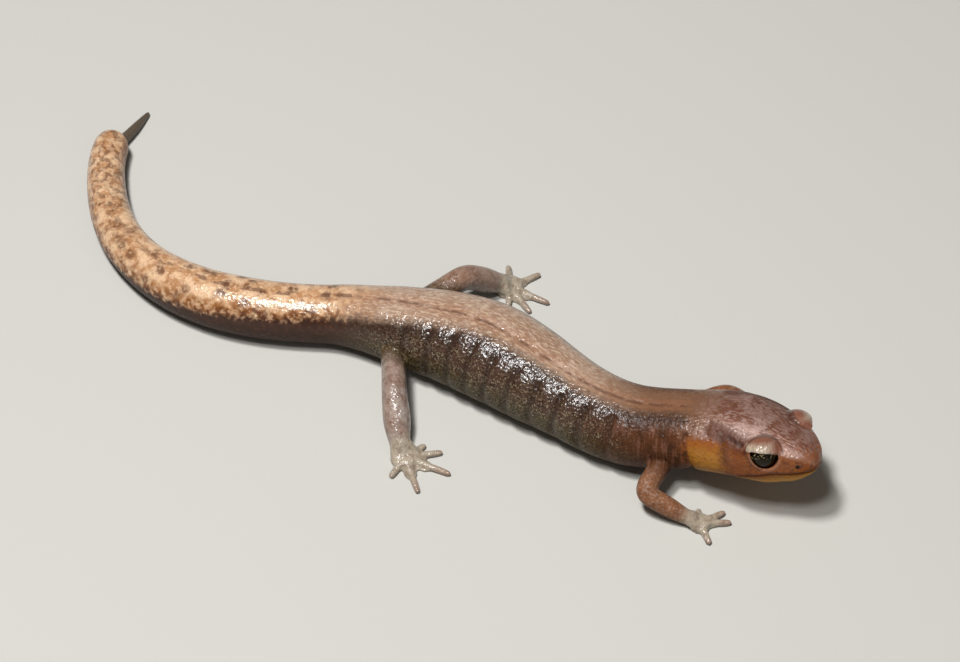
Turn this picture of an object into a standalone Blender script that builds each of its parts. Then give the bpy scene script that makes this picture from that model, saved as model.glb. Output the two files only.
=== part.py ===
"""Juarez false brook salamander, life size, standing still with its head raised and its tail curled round.

The body is one long form carried along a bent spine line, parted by thin cuts into head, neck, chest,
belly, pelvis and four lengths of tail. Eyes and limbs are separate pieces set against it. Units are metres,
+X points from tail to head, +Y to the animal's left, +Z up, and the floor is z = 0. The origin is the middle
of the underside of the whole model.
"""

import bmesh
import bpy
import numpy as np
from mathutils import Matrix

MM = 0.001
GAP = 0.3 * MM
EYE_GAP = 0.2 * MM
SLIVER = 0.004 * MM
NAME = "false_brook_salamander"

# The spine line, from the snout back to the tail tip, in millimetres and degrees.
# at: distance behind the snout; heading: where the line points there, 0 along +X, positive to its left;
# height: of the axis above the floor; width: half width; rise and drop: from the axis to back and belly;
# roll: turn about the line, negative with the left side down; power: 2 is an ellipse, more is squarer.
SPINE_COLUMNS = ("at", "heading", "height", "width", "rise", "drop", "roll", "power")
SPINE = {
    "snout": (0.0, -21, 8.45, 1.95, 1.4, 1.7, -11, 2.2),
    "nostrils": (2.4, -17, 7.85, 2.75, 1.9, 2.6, -11, 2.3),
    "eyes": (4.7, -10, 7.2, 3.95, 2.45, 3.15, -11, 2.4),
    "cheeks": (7.4, -4, 6.45, 4.7, 3.05, 2.8, -9, 2.4),
    "jaw_corner": (10.2, 7, 5.8, 4.65, 3.35, 2.75, -6, 2.3),
    "gular_fold": (13.95, 14, 5.0, 4.1, 3.55, 3.15, -2, 2.2),
    "shoulders": (17.8, 15, 4.4, 4.0, 3.45, 3.8, 0, 2.2),
    "axilla": (20.8, 5, 4.15, 4.0, 3.55, 4.2, 0, 2.2),
    "fore_trunk": (25.4, -8, 4.1, 4.1, 3.5, 4.2, 0, 2.2),
    "mid_trunk": (32.4, -9, 4.2, 4.9, 4.05, 4.35, 0, 2.2),
    "widest": (36.4, -3, 4.25, 5.1, 4.3, 4.4, 0, 2.2),
    "hind_trunk": (41.4, 6, 4.15, 4.65, 4.05, 4.3, 0, 2.2),
    "groin": (46.4, 8, 3.8, 3.85, 3.6, 4.0, 0, 2.2),
    "vent": (50.4, 11, 3.35, 3.25, 3.2, 3.45, 0, 2.1),
    "tail_root": (54.9, 24, 3.0, 2.95, 2.9, 3.1, 0, 2.0),
    "tail_swell": (62.4, 14, 2.9, 3.0, 2.9, 3.0, 0, 2.0),
    "tail_turn": (68.5, -1, 2.7, 2.8, 2.8, 2.85, 0, 2.0),
    "tail_bend": (75.5, -22, 2.4, 2.4, 2.4, 2.5, 0, 2.0),
    "tail_hook": (83.5, -48, 2.1, 2.1, 2.1, 2.2, 0, 2.0),
    "tail_rear": (89.6, -62, 1.95, 1.94, 1.95, 2.05, 0, 2.0),
    "tail_stub": (92.9, -76, 1.8, 1.85, 1.8, 1.9, 0, 2.0),
    "new_tip_root": (94.6, -98, 0.85, 0.66, 0.66, 0.86, 0, 2.0),
    "new_tip_mid": (97.5, -91, 0.6, 0.47, 0.47, 0.62, 0, 2.0),
    "tip_end": (100.1, -88, 0.3, 0.22, 0.22, 0.32, 0, 2.0),
}
SNOUT_ROUNDING = 2.4
SNOUT_START = 0.005
TIP_ROUNDING = 0.5
LINE_STEP = 0.05
RINGS_CLOSER_TO_SNOUT = 1.6
RINGS_CLOSER_TO_TIP = 1.4

# Lengths of the body between its cuts, from the snout back, with the rings and sides of each loft.
CUTS = {
    "head": (0.0, 13.8, 26, 34),
    "neck": (13.8, 15.6, 6, 24),
    "chest": (15.6, 26.5, 22, 24),
    "belly": (26.5, 37.0, 22, 24),
    "pelvis": (37.0, 50.4, 24, 24),
    "tail_base": (50.4, 62.4, 15, 18),
    "tail_middle": (62.4, 76.4, 15, 16),
    "tail_end": (76.4, 94.3, 24, 16),
    "tail_tip": (94.3, 100.1, 9, 12),
}

# Furrows of the skin, in millimetres.
COSTAL_FIRST = 21.0
COSTAL_LAST = 45.4
COSTAL_SPACING = 2.62
COSTAL_DEPTH = 0.24
COSTAL_HALF_WIDTH = 0.42
COSTAL_LEVELS = (-0.75, -0.1, 0.78, 0.99)
COSTAL_LOWER_ON_LEFT = 0.62
COSTAL_FADE = 1.0
BACK_FURROW = dict(start=14.0, end=58.5, fade_in=1.5, fade_out=6.0, depth=0.13, half_width=0.42)
GULAR_FOLD = dict(at=13.3, levels=(-0.1, 0.45), depth=0.3, half_width=0.4)

# Eyes: place on the head line, out from it and up from it, and the turn of the gaze, in millimetres and
# degrees. The lids are a dome round the eye, with its radii across, up and along the gaze, open in half an
# ellipse under the straight edge of the upper lid.
EYE_RADIUS = 1.42 * MM
EYE_AT = 4.5
EYE_OUT = 2.65
EYE_UP = 0.85
EYE_FORWARD_TURN = 38
EYE_UPWARD_TURN = 20
LID_RADII = (1.84 * MM, 1.8 * MM, 1.76 * MM)
LID_OPENING = (1.42 * MM, 1.64 * MM)
LID_EDGE_UP = 0.28 * MM
BROW_SWELL = 0.25
BROW_REACH = 2.3

# Mouth and nostrils.
MOUTH_CORNER_AT = 9.3
MOUTH_LEVELS = ((0.0, -0.62), (2.5, -1.0), (5.0, -1.3), (7.4, -1.45), (9.3, -2.0))
MOUTH_SLIT = 0.22 * MM
MOUTH_DEPTH = 0.5 * MM
MOUTH_RINGS = 42
NOSTRIL = dict(at=0.75, angle=8, radius=0.2)

# Limbs, in millimetres and degrees. root: distance behind the snout; out: of the joint from the body's
# axis; each length is followed by its heading and by the height where it ends. Toes are headings and reaches
# from the middle of the palm.
LIMBS = {
    "fore_right": dict(
        side=-1, root=15.6, out=2.2, root_height=3.8,
        upper=5.1, upper_heading=-94, knee_height=2.7,
        lower=4.9, lower_heading=6, ankle_height=1.0,
        palm=1.45, palm_heading=18, palm_half=(1.15, 0.5),
        thickness=(1.2, 1.08, 1.02, 1.0, 0.76),
        toes=((-43, 2.7), (30, 3.1), (57, 2.9), (122, 1.8)),
    ),
    "fore_left": dict(
        side=1, root=16.3, out=2.4, root_height=4.0,
        upper=6.1, upper_heading=51, knee_height=4.3,
        lower=5.0, lower_heading=24, ankle_height=1.0,
        palm=1.3, palm_heading=16, palm_half=(1.15, 0.5),
        thickness=(1.2, 1.08, 1.02, 1.0, 0.76),
        toes=((28, 2.6), (-2, 2.8), (-32, 2.4), (-88, 1.7)),
    ),
    "hind_right": dict(
        side=-1, root=46.6, out=1.6, root_height=3.6,
        upper=7.5, upper_heading=-60, knee_height=3.5,
        lower=4.8, lower_heading=-55, ankle_height=1.15,
        palm=1.5, palm_heading=-37, palm_half=(1.5, 0.55),
        thickness=(1.35, 1.22, 1.28, 1.38, 1.05),
        toes=((-92, 2.9), (-45, 4.6), (3, 5.0), (38, 3.8), (66, 2.6)),
    ),
    "hind_left": dict(
        side=1, root=46.6, out=1.6, root_height=3.6,
        upper=7.6, upper_heading=63, knee_height=4.3,
        lower=4.9, lower_heading=58, ankle_height=1.15,
        palm=1.4, palm_heading=29, palm_half=(1.5, 0.55),
        thickness=(1.35, 1.22, 1.28, 1.3, 1.05),
        toes=((120, 3.0), (58, 3.7), (0, 4.6), (-30, 4.0), (-65, 2.6)),
    ),
}
SEGMENT_NAMES = {"fore": ("upper_arm", "forearm", "hand"), "hind": ("thigh", "shank", "foot")}
PATH_STEP = 0.1
JOINT_ROUNDING = 1.6
LIMB_SIDES = 12
LIMB_RINGS = 10
GROWN_BODY = dict(reach=6.0, rings=40, sides=40)
FLOOR_BLOCK = (0.3, 0.3, 0.01)
PALM_RINGS = 8
PALM_SHAPE = dict(at=(0, 0.55, 0.85, 1), wide=(1, 0.8, 0.35), high=(1, 0.85, 0.5), reach=0.85, flat_from=0.6)
PALM_SINK = 0.9
TOE_AXIS_HEIGHT = 0.3
TOE_RADII = (0.55, 0.47, 0.36, 0.34, 0.26)
TOE_PAD = 0.3
TOE_SIDES = 8
TOE_RINGS = 7
RINGS_CLOSER_TO_PAD = 1.5
WEB = dict(share=0.62, spread=34, height=0.34, centre_height=0.12, sides=36, rings=5)

COLOURS = {
    "head_skin": ((0.155, 0.062, 0.043), 0.34),
    "back_skin": ((0.165, 0.082, 0.055), 0.36),
    "flank_skin": ((0.085, 0.048, 0.037), 0.38),
    "tail_skin": ((0.42, 0.21, 0.085), 0.36),
    "tip_skin": ((0.045, 0.032, 0.028), 0.45),
    "limb_skin": ((0.19, 0.088, 0.064), 0.4),
    "foot_skin": ((0.27, 0.2, 0.19), 0.45),
    "eye": ((0.02, 0.017, 0.012), 0.06),
}
NODE_MATERIAL = {
    "head": "head_skin", "neck": "head_skin", "chest": "flank_skin", "belly": "flank_skin",
    "pelvis": "back_skin", "tail_base": "tail_skin", "tail_middle": "tail_skin", "tail_end": "tail_skin",
    "tail_tip": "tip_skin",
}


def monotone(x, xs, ys):
    """Piecewise cubic through the stations that never passes beyond them between two of them."""
    xs = np.asarray(xs, float)
    ys = np.asarray(ys, float)
    run = np.diff(xs)
    slope = np.diff(ys) / run
    inner = np.zeros(len(xs))
    same = slope[:-1] * slope[1:] > 0
    weight_a = 2 * run[1:] + run[:-1]
    weight_b = run[1:] + 2 * run[:-1]
    with np.errstate(divide="ignore", invalid="ignore"):
        mean = (weight_a + weight_b) / (weight_a / slope[:-1] + weight_b / slope[1:])
    inner[1:-1] = np.where(same, mean, 0.0)
    inner[0], inner[-1] = slope[0], slope[-1]
    i = np.clip(np.searchsorted(xs, x, side="right") - 1, 0, len(run) - 1)
    t = (x - xs[i]) / run[i]
    rise = ys[i] * (1 + 2 * t) * (1 - t) ** 2 + ys[i + 1] * t * t * (3 - 2 * t)
    return rise + run[i] * (inner[i] * t * (1 - t) ** 2 - inner[i + 1] * t * t * (1 - t))


def unit(vectors):
    return vectors / np.linalg.norm(vectors, axis=-1, keepdims=True)


def smooth_rise(x, low, high):
    t = np.clip((x - low) / (high - low), 0, 1)
    return t * t * (3 - 2 * t)


SPINE_TABLE = dict(zip(SPINE_COLUMNS, np.array(list(SPINE.values())).T))
TIP_AT = SPINE["tip_end"][0]
SHARP_ANGLE = 40


def spine_value(column, at):
    return monotone(np.asarray(at, float), SPINE_TABLE["at"], SPINE_TABLE[column])


LINE_AT = np.arange(0, TIP_AT + LINE_STEP, LINE_STEP)
LINE_HEADING = np.radians(spine_value("heading", np.minimum(LINE_AT, TIP_AT)))
LINE_X = -np.concatenate([[0], np.cumsum(np.cos(LINE_HEADING[1:]))]) * LINE_STEP
LINE_Y = -np.concatenate([[0], np.cumsum(np.sin(LINE_HEADING[1:]))]) * LINE_STEP


def spine_frame(at):
    """Axis point in millimetres, and the unit forward, left and up directions there, the last two rolled."""
    at = np.asarray(at, float)
    along = np.interp(at, LINE_AT, LINE_X)
    across = np.interp(at, LINE_AT, LINE_Y)
    point = np.stack([along, across, spine_value("height", at)], -1)
    heading = np.radians(spine_value("heading", at))
    climb = spine_value("height", at - LINE_STEP) - spine_value("height", at + LINE_STEP)
    forward = unit(np.stack([np.cos(heading), np.sin(heading), climb / (2 * LINE_STEP)], -1))
    left = np.stack([-np.sin(heading), np.cos(heading), np.zeros_like(heading)], -1)
    up = np.cross(forward, left)
    roll = np.radians(spine_value("roll", at))[..., None]
    return point, forward, np.cos(roll) * left + np.sin(roll) * up, np.cos(roll) * up - np.sin(roll) * left


def end_rounding(at):
    """Shrinks the rings to nothing at the snout and at the tail tip along quarter ellipses."""
    snout = np.clip(1 - at / SNOUT_ROUNDING, 0, 1)
    tip = np.clip(1 - (TIP_AT - at) / TIP_ROUNDING, 0, 1)
    return np.sqrt(np.clip(1 - snout**2, 0, 1) * np.clip(1 - tip**2, 0, 1))


def furrow(distance, half_width):
    return np.exp(-((distance / half_width) ** 2))


def furrow_depth(at, side, level):
    """Depth of the costal grooves, the furrow along the back and the fold of the throat, in millimetres.

    side is the sine-like distance out from the middle line and level the same up from the axis, both -1 to 1.
    """
    phase = (at - COSTAL_FIRST) / COSTAL_SPACING
    to_groove = (phase - np.round(phase)) * COSTAL_SPACING
    along = smooth_rise(at, COSTAL_FIRST - COSTAL_FADE, COSTAL_FIRST)
    along = along * (1 - smooth_rise(at, COSTAL_LAST, COSTAL_LAST + COSTAL_FADE))
    top = level + COSTAL_LOWER_ON_LEFT * (side > 0)
    flank = smooth_rise(level, *COSTAL_LEVELS[:2]) * (1 - smooth_rise(top, *COSTAL_LEVELS[2:]))
    depth = COSTAL_DEPTH * furrow(to_groove, COSTAL_HALF_WIDTH) * along * flank
    start, end = BACK_FURROW["start"], BACK_FURROW["end"]
    back = smooth_rise(at, start - BACK_FURROW["fade_in"], start) * (level > 0)
    back = back * (1 - smooth_rise(at, end - BACK_FURROW["fade_out"], end))
    width = spine_value("width", at)
    depth = depth + BACK_FURROW["depth"] * back * furrow(side * width, BACK_FURROW["half_width"])
    throat = 1 - smooth_rise(level, *GULAR_FOLD["levels"])
    return depth + GULAR_FOLD["depth"] * throat * furrow(at - GULAR_FOLD["at"], GULAR_FOLD["half_width"])


def skin(at, angle, grow=0.0):
    """Surface points in metres: superelliptic sections across the spine line, flat where they meet the floor.

    angle is 0 on the animal's left side and 90 degrees on its back; grow widens the section, in millimetres.
    """
    at, angle = np.broadcast_arrays(np.asarray(at, float), np.asarray(angle, float))
    point, _, left, up = spine_frame(at)
    power = 2 / spine_value("power", at)
    side = np.sign(np.cos(angle)) * np.abs(np.cos(angle)) ** power
    level = np.sign(np.sin(angle)) * np.abs(np.sin(angle)) ** power
    shrink = end_rounding(at)
    inward = furrow_depth(at, side, level) if grow == 0 else -grow
    width = spine_value("width", at) * shrink - inward
    height = np.where(level > 0, spine_value("rise", at), spine_value("drop", at)) * shrink - inward
    points = point + (side * width)[..., None] * left + (level * height)[..., None] * up
    points = points + brow_swell(points)
    points[..., 2] = np.maximum(points[..., 2], 0)
    return points * MM


def eye_frame(side):
    """Centre of an eye in metres, its gaze, and the directions across and up it."""
    point, forward, left, up = spine_frame(EYE_AT)
    centre = (point + side * EYE_OUT * left + EYE_UP * up) * MM
    turn, tilt = np.radians([EYE_FORWARD_TURN, EYE_UPWARD_TURN])
    gaze = np.cos(tilt) * (side * np.cos(turn) * left + np.sin(turn) * forward) + np.sin(tilt) * up
    across = unit(np.cross(up, gaze))
    return centre, gaze, across, np.cross(gaze, across)


def brow_swell(points):
    """Moves skin near an eye outward, so that the eyes stand in low domes."""
    moved = np.zeros_like(points)
    for side in (-1, 1):
        centre, gaze, _, _ = eye_frame(side)
        away = points - centre / MM
        near = furrow(np.linalg.norm(away, axis=-1), BROW_REACH)
        moved = moved + (BROW_SWELL * near)[..., None] * gaze
    return moved


def mesh_object(name, vertices, faces, collection):
    mesh = bpy.data.meshes.new(name)
    mesh.from_pydata(vertices.tolist(), [], faces)
    mesh.validate()
    bm = bmesh.new()
    bm.from_mesh(mesh)
    bmesh.ops.recalc_face_normals(bm, faces=bm.faces)
    bm.to_mesh(mesh)
    bm.free()
    obj = bpy.data.objects.new(name, mesh)
    collection.objects.link(obj)
    return obj


def loft(name, rings, collection, closed_path=False):
    """Closed tube through rings of points, with a flat face on each end."""
    count, sides = rings.shape[:2]
    faces = []
    for i in range(count if closed_path else count - 1):
        a, b = i * sides, (i + 1) % count * sides
        faces += [(a + j, a + (j + 1) % sides, b + (j + 1) % sides, b + j) for j in range(sides)]
    if not closed_path:
        faces += [tuple(range(sides))[::-1], tuple(range((count - 1) * sides, count * sides))]
    return mesh_object(name, rings.reshape(-1, 3), faces, collection)


def body_length(name, start, end, rings, sides, collection):
    first = start + GAP / MM / 2 if start > 0 else SNOUT_START
    last = end - GAP / MM / 2 if end < TIP_AT else TIP_AT - LINE_STEP / 4
    share = np.linspace(0, 1, rings)
    if start == 0:
        share = share**RINGS_CLOSER_TO_SNOUT
    if end == TIP_AT:
        share = 1 - (1 - share) ** RINGS_CLOSER_TO_TIP
    at = first + (last - first) * share
    angle = np.arange(sides) * 2 * np.pi / sides
    return loft(name, skin(at[:, None], angle[None, :]), collection)


def evaluated_copy(obj):
    """Replaces the object's mesh by what its modifiers make of it."""
    bpy.context.view_layer.update()
    graph = bpy.context.evaluated_depsgraph_get()
    mesh = bpy.data.meshes.new_from_object(obj.evaluated_get(graph))
    obj.modifiers.clear()
    old = obj.data
    obj.data = mesh
    bpy.data.meshes.remove(old)


def boolean(obj, others, operation, solver="EXACT"):
    """Joins the other closed meshes to the object, or cuts them from it, and removes them."""
    tools = bpy.data.collections.new("tools")
    bpy.context.scene.collection.children.link(tools)
    for other in others:
        for collection in list(other.users_collection):
            collection.objects.unlink(other)
        tools.objects.link(other)
        other.display_type = "WIRE"
        other.hide_render = True
    modifier = obj.modifiers.new(operation.lower(), "BOOLEAN")
    modifier.operation = operation
    modifier.solver = solver
    modifier.operand_type = "COLLECTION"
    modifier.collection = tools
    evaluated_copy(obj)
    for other in others:
        bpy.data.objects.remove(other)
    bpy.data.collections.remove(tools)


def keep_largest(obj):
    """Closes slivers that a cut leaves and drops every closed surface of the mesh but the largest."""
    bm = bmesh.new()
    bm.from_mesh(obj.data)
    bmesh.ops.remove_doubles(bm, verts=bm.verts, dist=SLIVER)
    bmesh.ops.dissolve_degenerate(bm, edges=bm.edges, dist=SLIVER)
    bmesh.ops.triangulate(bm, faces=bm.faces)
    left = set(bm.verts)
    shells = []
    while left:
        shell, front = set(), [left.pop()]
        while front:
            vertex = front.pop()
            shell.add(vertex)
            for edge in vertex.link_edges:
                other = edge.other_vert(vertex)
                if other in left:
                    left.remove(other)
                    front.append(other)
        shells.append(shell)
    sizes = [np.ptp(np.array([v.co for v in shell]), axis=0).sum() for shell in shells]
    for i, shell in enumerate(shells):
        if i != int(np.argmax(sizes)):
            bmesh.ops.delete(bm, geom=list(shell), context="VERTS")
    bm.to_mesh(obj.data)
    bm.free()


def sphere(name, centre, radius, collection, segments=16, rings=10):
    bm = bmesh.new()
    bmesh.ops.create_uvsphere(bm, u_segments=segments, v_segments=rings, radius=radius)
    mesh = bpy.data.meshes.new(name)
    bm.to_mesh(mesh)
    bm.free()
    obj = bpy.data.objects.new(name, mesh)
    obj.location = centre
    collection.objects.link(obj)
    return obj


def lid_dome(side, collection):
    """Ellipsoid on the eye's own directions that the lids are cut from."""
    centre, gaze, across, up = eye_frame(side)
    dome = sphere("lid_dome", (0, 0, 0), 1, collection, 22, 14)
    columns = np.stack([radius * way for radius, way in zip(LID_RADII, (across, up, gaze))], 1)
    dome.data.transform(Matrix(columns.tolist()).to_4x4())
    dome.data.transform(translation(centre))
    return dome


def lid_opening(side, collection):
    """Bar along the gaze that opens the lids: half an ellipse, flat above at the edge of the upper lid."""
    centre, gaze, across, up = eye_frame(side)
    turn = np.radians(np.linspace(180, 360, 13))
    wide, high = LID_OPENING
    start = centre + wide * np.cos(turn)[:, None] * across + (high * np.sin(turn)[:, None] + LID_EDGE_UP) * up
    return loft("lid_opening", np.stack([start, start + 2 * EYE_RADIUS * gaze]), collection)


def mouth_cutter(collection):
    """Thin ribbon along the line of the mouth from corner to corner, round the snout at the chin's level."""
    t = np.linspace(-1, 1, MOUTH_RINGS)
    front_level = MOUTH_LEVELS[0][1] / SPINE_TABLE["drop"][0]
    front_at = SNOUT_ROUNDING * (1 - np.sqrt(1 - front_level**2))
    at = front_at + (MOUTH_CORNER_AT - front_at) * t * t
    level = np.interp(at, *np.array(MOUTH_LEVELS).T)
    drop = spine_value("drop", at) * end_rounding(at)
    sine = np.clip(-level / drop, 0, 1) ** (spine_value("power", at) / 2)
    angle = np.where(t < 0, np.pi + np.arcsin(sine), -np.arcsin(sine))
    path = skin(at, angle)
    _, _, _, up = spine_frame(at)
    outward = unit(np.cross(unit(np.gradient(path, axis=0)), up))
    from_middle = path - spine_frame(EYE_AT)[0] * MM
    outward *= np.sign(np.einsum("ij,ij->i", outward, from_middle))[:, None]
    out, half = MOUTH_DEPTH, MOUTH_SLIT / 2
    corners = ((out, -half), (out, half), (-out, half), (-out, -half))
    rings = [path + outward * across + up * rise for across, rise in corners]
    return loft("mouth_cutter", np.stack(rings, 1), collection)


def make_head(head, eyes, scratch):
    boolean(head, [lid_dome(side, scratch) for side in (-1, 1)], "UNION")
    cutters = [mouth_cutter(scratch)]
    for side in (-1, 1):
        cutters.append(lid_opening(side, scratch))
        cutters.append(sphere("socket", eye_frame(side)[0], EYE_RADIUS + EYE_GAP, scratch))
        angle = np.radians(NOSTRIL["angle"] if side > 0 else 180 - NOSTRIL["angle"])
        cutters.append(sphere("nostril", skin(NOSTRIL["at"], angle), NOSTRIL["radius"] * MM, scratch, 10, 6))
    boolean(head, cutters, "DIFFERENCE")
    keep_largest(head)
    for side, label in ((-1, "right"), (1, "left")):
        eye = sphere("eye_" + label, (0, 0, 0), EYE_RADIUS, eyes, 18, 11)
        eye.data.transform(translation(eye_frame(side)[0]))


def translation(vector):
    return Matrix.Translation([float(value) for value in vector])


def heading_vector(degrees):
    return np.array([np.cos(np.radians(degrees)), np.sin(np.radians(degrees)), 0.0])


def reach(start, length, heading, height):
    """Point this far from the start, at this height, in this direction seen from above."""
    run = np.sqrt(max(length**2 - (height - start[2]) ** 2, 0))
    end = start + run * heading_vector(heading)
    end[2] = height
    return end


def limb_joints(limb):
    """Root joint, knee or elbow, ankle or wrist and middle of the palm, in millimetres."""
    point, _, left, _ = spine_frame(limb["root"])
    root = point + limb["side"] * limb["out"] * left
    root[2] = limb["root_height"]
    knee = reach(root, limb["upper"], limb["upper_heading"], limb["knee_height"])
    ankle = reach(knee, limb["lower"], limb["lower_heading"], limb["ankle_height"])
    palm = reach(ankle, limb["palm"], limb["palm_heading"], limb["palm_half"][1] * PALM_SINK)
    return np.array([root, knee, ankle, palm])


def rounded_path(points):
    """Points close together along the straight lines between joints, each corner rounded by an average."""
    runs = np.linalg.norm(np.diff(points, axis=0), axis=1)
    marks = np.concatenate([[0], np.cumsum(runs)])
    s = np.arange(0, marks[-1], PATH_STEP)
    line = np.stack([np.interp(s, marks, points[:, k]) for k in range(3)], 1)
    reach_each_way = int(JOINT_ROUNDING / PATH_STEP)
    offsets = np.arange(-reach_each_way, reach_each_way + 1)
    weights = 1 - np.abs(offsets) / (reach_each_way + 1)
    padded = np.pad(line, ((reach_each_way,) * 2, (0, 0)), mode="reflect", reflect_type="odd")
    smooth = np.zeros_like(line)
    for weight, offset in zip(weights, offsets):
        first = reach_each_way + offset
        smooth += weight * padded[first : first + len(s)]
    return s, smooth / weights.sum(), marks


def path_frame(path, at):
    """Points of a limb's path and its unit forward direction there."""
    s, points, _ = path
    slope = np.gradient(points, axis=0)
    found = [np.stack([np.interp(at, s, table[:, k]) for k in range(3)], -1) for table in (points, slope)]
    return found[0], unit(found[1])


def limb_segment(name, path, start, end, marks, thickness, collection):
    """Round loft along the path between two joints, with each end face half a gap short of its joint."""
    at = np.linspace(start, end, LIMB_RINGS)
    centre, forward = path_frame(path, at)
    centre[0] += GAP / MM / 2 * forward[0]
    centre[-1] -= GAP / MM / 2 * forward[-1]
    side = unit(np.cross([0, 0, 1], forward))
    up = np.cross(forward, side)
    radius = monotone(at, marks, thickness)
    turn = np.arange(LIMB_SIDES) * 2 * np.pi / LIMB_SIDES
    rings = centre[:, None] + radius[:, None, None] * (
        np.cos(turn)[None, :, None] * side[:, None] + np.sin(turn)[None, :, None] * up[:, None]
    )
    rings[..., 2] = np.maximum(rings[..., 2], 0)
    return loft(name, rings * MM, collection)


def toe(palm, heading, length, collection):
    """Tapered toe lying on the floor, from the palm's middle out to a rounded pad."""
    share = np.linspace(0, 1, TOE_RINGS)
    share = 1 - (1 - share) ** RINGS_CLOSER_TO_PAD
    radius = monotone(share, np.linspace(0, 1, len(TOE_RADII)), TOE_RADII)
    radius *= np.sqrt(1 - np.clip((share - 1) * length / TOE_PAD + 1, 0, 0.97) ** 2)
    along = heading_vector(heading)
    side = np.cross([0, 0, 1], along)
    centre = palm[None, :] * [1, 1, 0] + share[:, None] * length * along
    centre[:, 2] = TOE_AXIS_HEIGHT + (palm[2] - TOE_AXIS_HEIGHT) * (1 - share) ** 3
    turn = np.arange(TOE_SIDES) * 2 * np.pi / TOE_SIDES + np.pi / TOE_SIDES
    rings = centre[:, None] + radius[:, None, None] * (
        np.cos(turn)[None, :, None] * side + np.sin(turn)[None, :, None] * np.array([0, 0, 1])
    )
    return loft("toe", rings * MM, collection)


def palm_form(name, limb, joints, path, collection):
    """Flattened pad from the cut at the wrist to just past the palm's middle."""
    half_width, half_height = limb["palm_half"]
    wrist_radius = limb["thickness"][-1]
    start, wrist_forward = path_frame(path, path[2][2])
    start = start + GAP / MM / 2 * wrist_forward
    end = joints[3] + PALM_SHAPE["reach"] * half_width * heading_vector(limb["palm_heading"])
    share = np.linspace(0, 1, PALM_RINGS)
    centre = start + share[:, None] * (end - start)
    centre[:, 2] = start[2] + (joints[3][2] - start[2]) * smooth_rise(share, 0, PALM_SHAPE["flat_from"])
    wide = monotone(share, PALM_SHAPE["at"], [wrist_radius, *(half_width * np.array(PALM_SHAPE["wide"]))])
    high = monotone(share, PALM_SHAPE["at"], [wrist_radius, *(half_height * np.array(PALM_SHAPE["high"]))])
    turned = smooth_rise(share, 0, PALM_SHAPE["flat_from"])[:, None]
    along = unit((1 - turned) * wrist_forward + turned * unit(end - start))
    side = unit(np.cross([0, 0, 1], along))
    up = np.cross(along, side)
    turn = np.arange(LIMB_SIDES) * 2 * np.pi / LIMB_SIDES
    rings = (
        centre[:, None]
        + (wide[:, None] * np.cos(turn))[..., None] * side[:, None]
        + (high[:, None] * np.sin(turn))[..., None] * up[:, None]
    )
    return loft(name, rings * MM, collection)


def web(palm, limb, collection):
    """Thin fan of skin on the floor between the roots of the toes, reaching farthest along each toe."""
    turn = np.arange(WEB["sides"]) * 2 * np.pi / WEB["sides"]
    reach_out = np.full(len(turn), limb["palm_half"][0])
    for heading, length in limb["toes"]:
        away = np.degrees(np.abs((turn - np.radians(heading) + np.pi) % (2 * np.pi) - np.pi))
        reach_out = np.maximum(reach_out, WEB["share"] * length * furrow(away, WEB["spread"]))
    tilt = np.linspace(-np.pi / 2, np.pi / 2, WEB["rings"] + 2)[1:-1]
    out = np.cos(tilt)[:, None] * reach_out
    rings = np.stack([palm[0] + out * np.cos(turn), palm[1] + out * np.sin(turn), np.zeros_like(out)], -1)
    rings[..., 2] = WEB["centre_height"] + WEB["height"] * np.sin(tilt)[:, None]
    return loft("web", rings * MM, collection)


def make_limb(label, limb, parts, scratch):
    """Three nodes of one limb, the first cut clear of the body, and a flat sole on the floor."""
    kind, side = label.split("_")
    upper_name, lower_name, end_name = (f"{piece}_{side}" for piece in SEGMENT_NAMES[kind])
    joints = limb_joints(limb)
    path = rounded_path(joints)
    marks = path[2]
    stations = (0, marks[1] / 2, marks[1], (marks[1] + marks[2]) / 2, marks[2])
    upper = limb_segment(upper_name, path, 0, marks[1], stations, limb["thickness"], parts)
    clear_of_body(upper, limb["root"], scratch)
    limb_segment(lower_name, path, marks[1], marks[2], stations, limb["thickness"], parts)
    foot = palm_form(end_name, limb, joints, path, parts)
    toes = [toe(joints[3], heading, length, scratch) for heading, length in limb["toes"]]
    toes.append(web(joints[3], limb, scratch))
    # EXACT leaves the hands whole here and keeps the block, so the soles are made with MANIFOLD.
    boolean(foot, toes, "UNION", "MANIFOLD")
    boolean(foot, [floor_block(scratch)], "DIFFERENCE", "MANIFOLD")
    keep_largest(foot)


def floor_block(collection):
    bm = bmesh.new()
    bmesh.ops.create_cube(bm, size=1)
    mesh = bpy.data.meshes.new("floor_block")
    bm.to_mesh(mesh)
    bm.free()
    mesh.transform(Matrix.Diagonal((*FLOOR_BLOCK, 1)))
    mesh.transform(translation((0, 0, -FLOOR_BLOCK[2] / 2)))
    obj = bpy.data.objects.new("floor_block", mesh)
    collection.objects.link(obj)
    return obj


def clear_of_body(limb_piece, root, scratch):
    """Cuts the limb by the body grown by the gap, so that its root lies against the flank."""
    at = np.linspace(root - GROWN_BODY["reach"], root + GROWN_BODY["reach"], GROWN_BODY["rings"])
    angle = np.arange(GROWN_BODY["sides"]) * 2 * np.pi / GROWN_BODY["sides"]
    grown = loft("grown_body", skin(at[:, None], angle[None, :], GAP / MM), scratch)
    boolean(limb_piece, [grown], "DIFFERENCE")
    keep_largest(limb_piece)


def material(name):
    colour, roughness = COLOURS[name]
    made = bpy.data.materials.get(name)
    if made is None:
        made = bpy.data.materials.new(name)
        made.use_nodes = True
        shader = made.node_tree.nodes["Principled BSDF"]
        shader.inputs["Base Color"].default_value = (*colour, 1)
        shader.inputs["Roughness"].default_value = roughness
        shader.inputs["Metallic"].default_value = 0
        made.diffuse_color = (*colour, 1)
    return made


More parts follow.
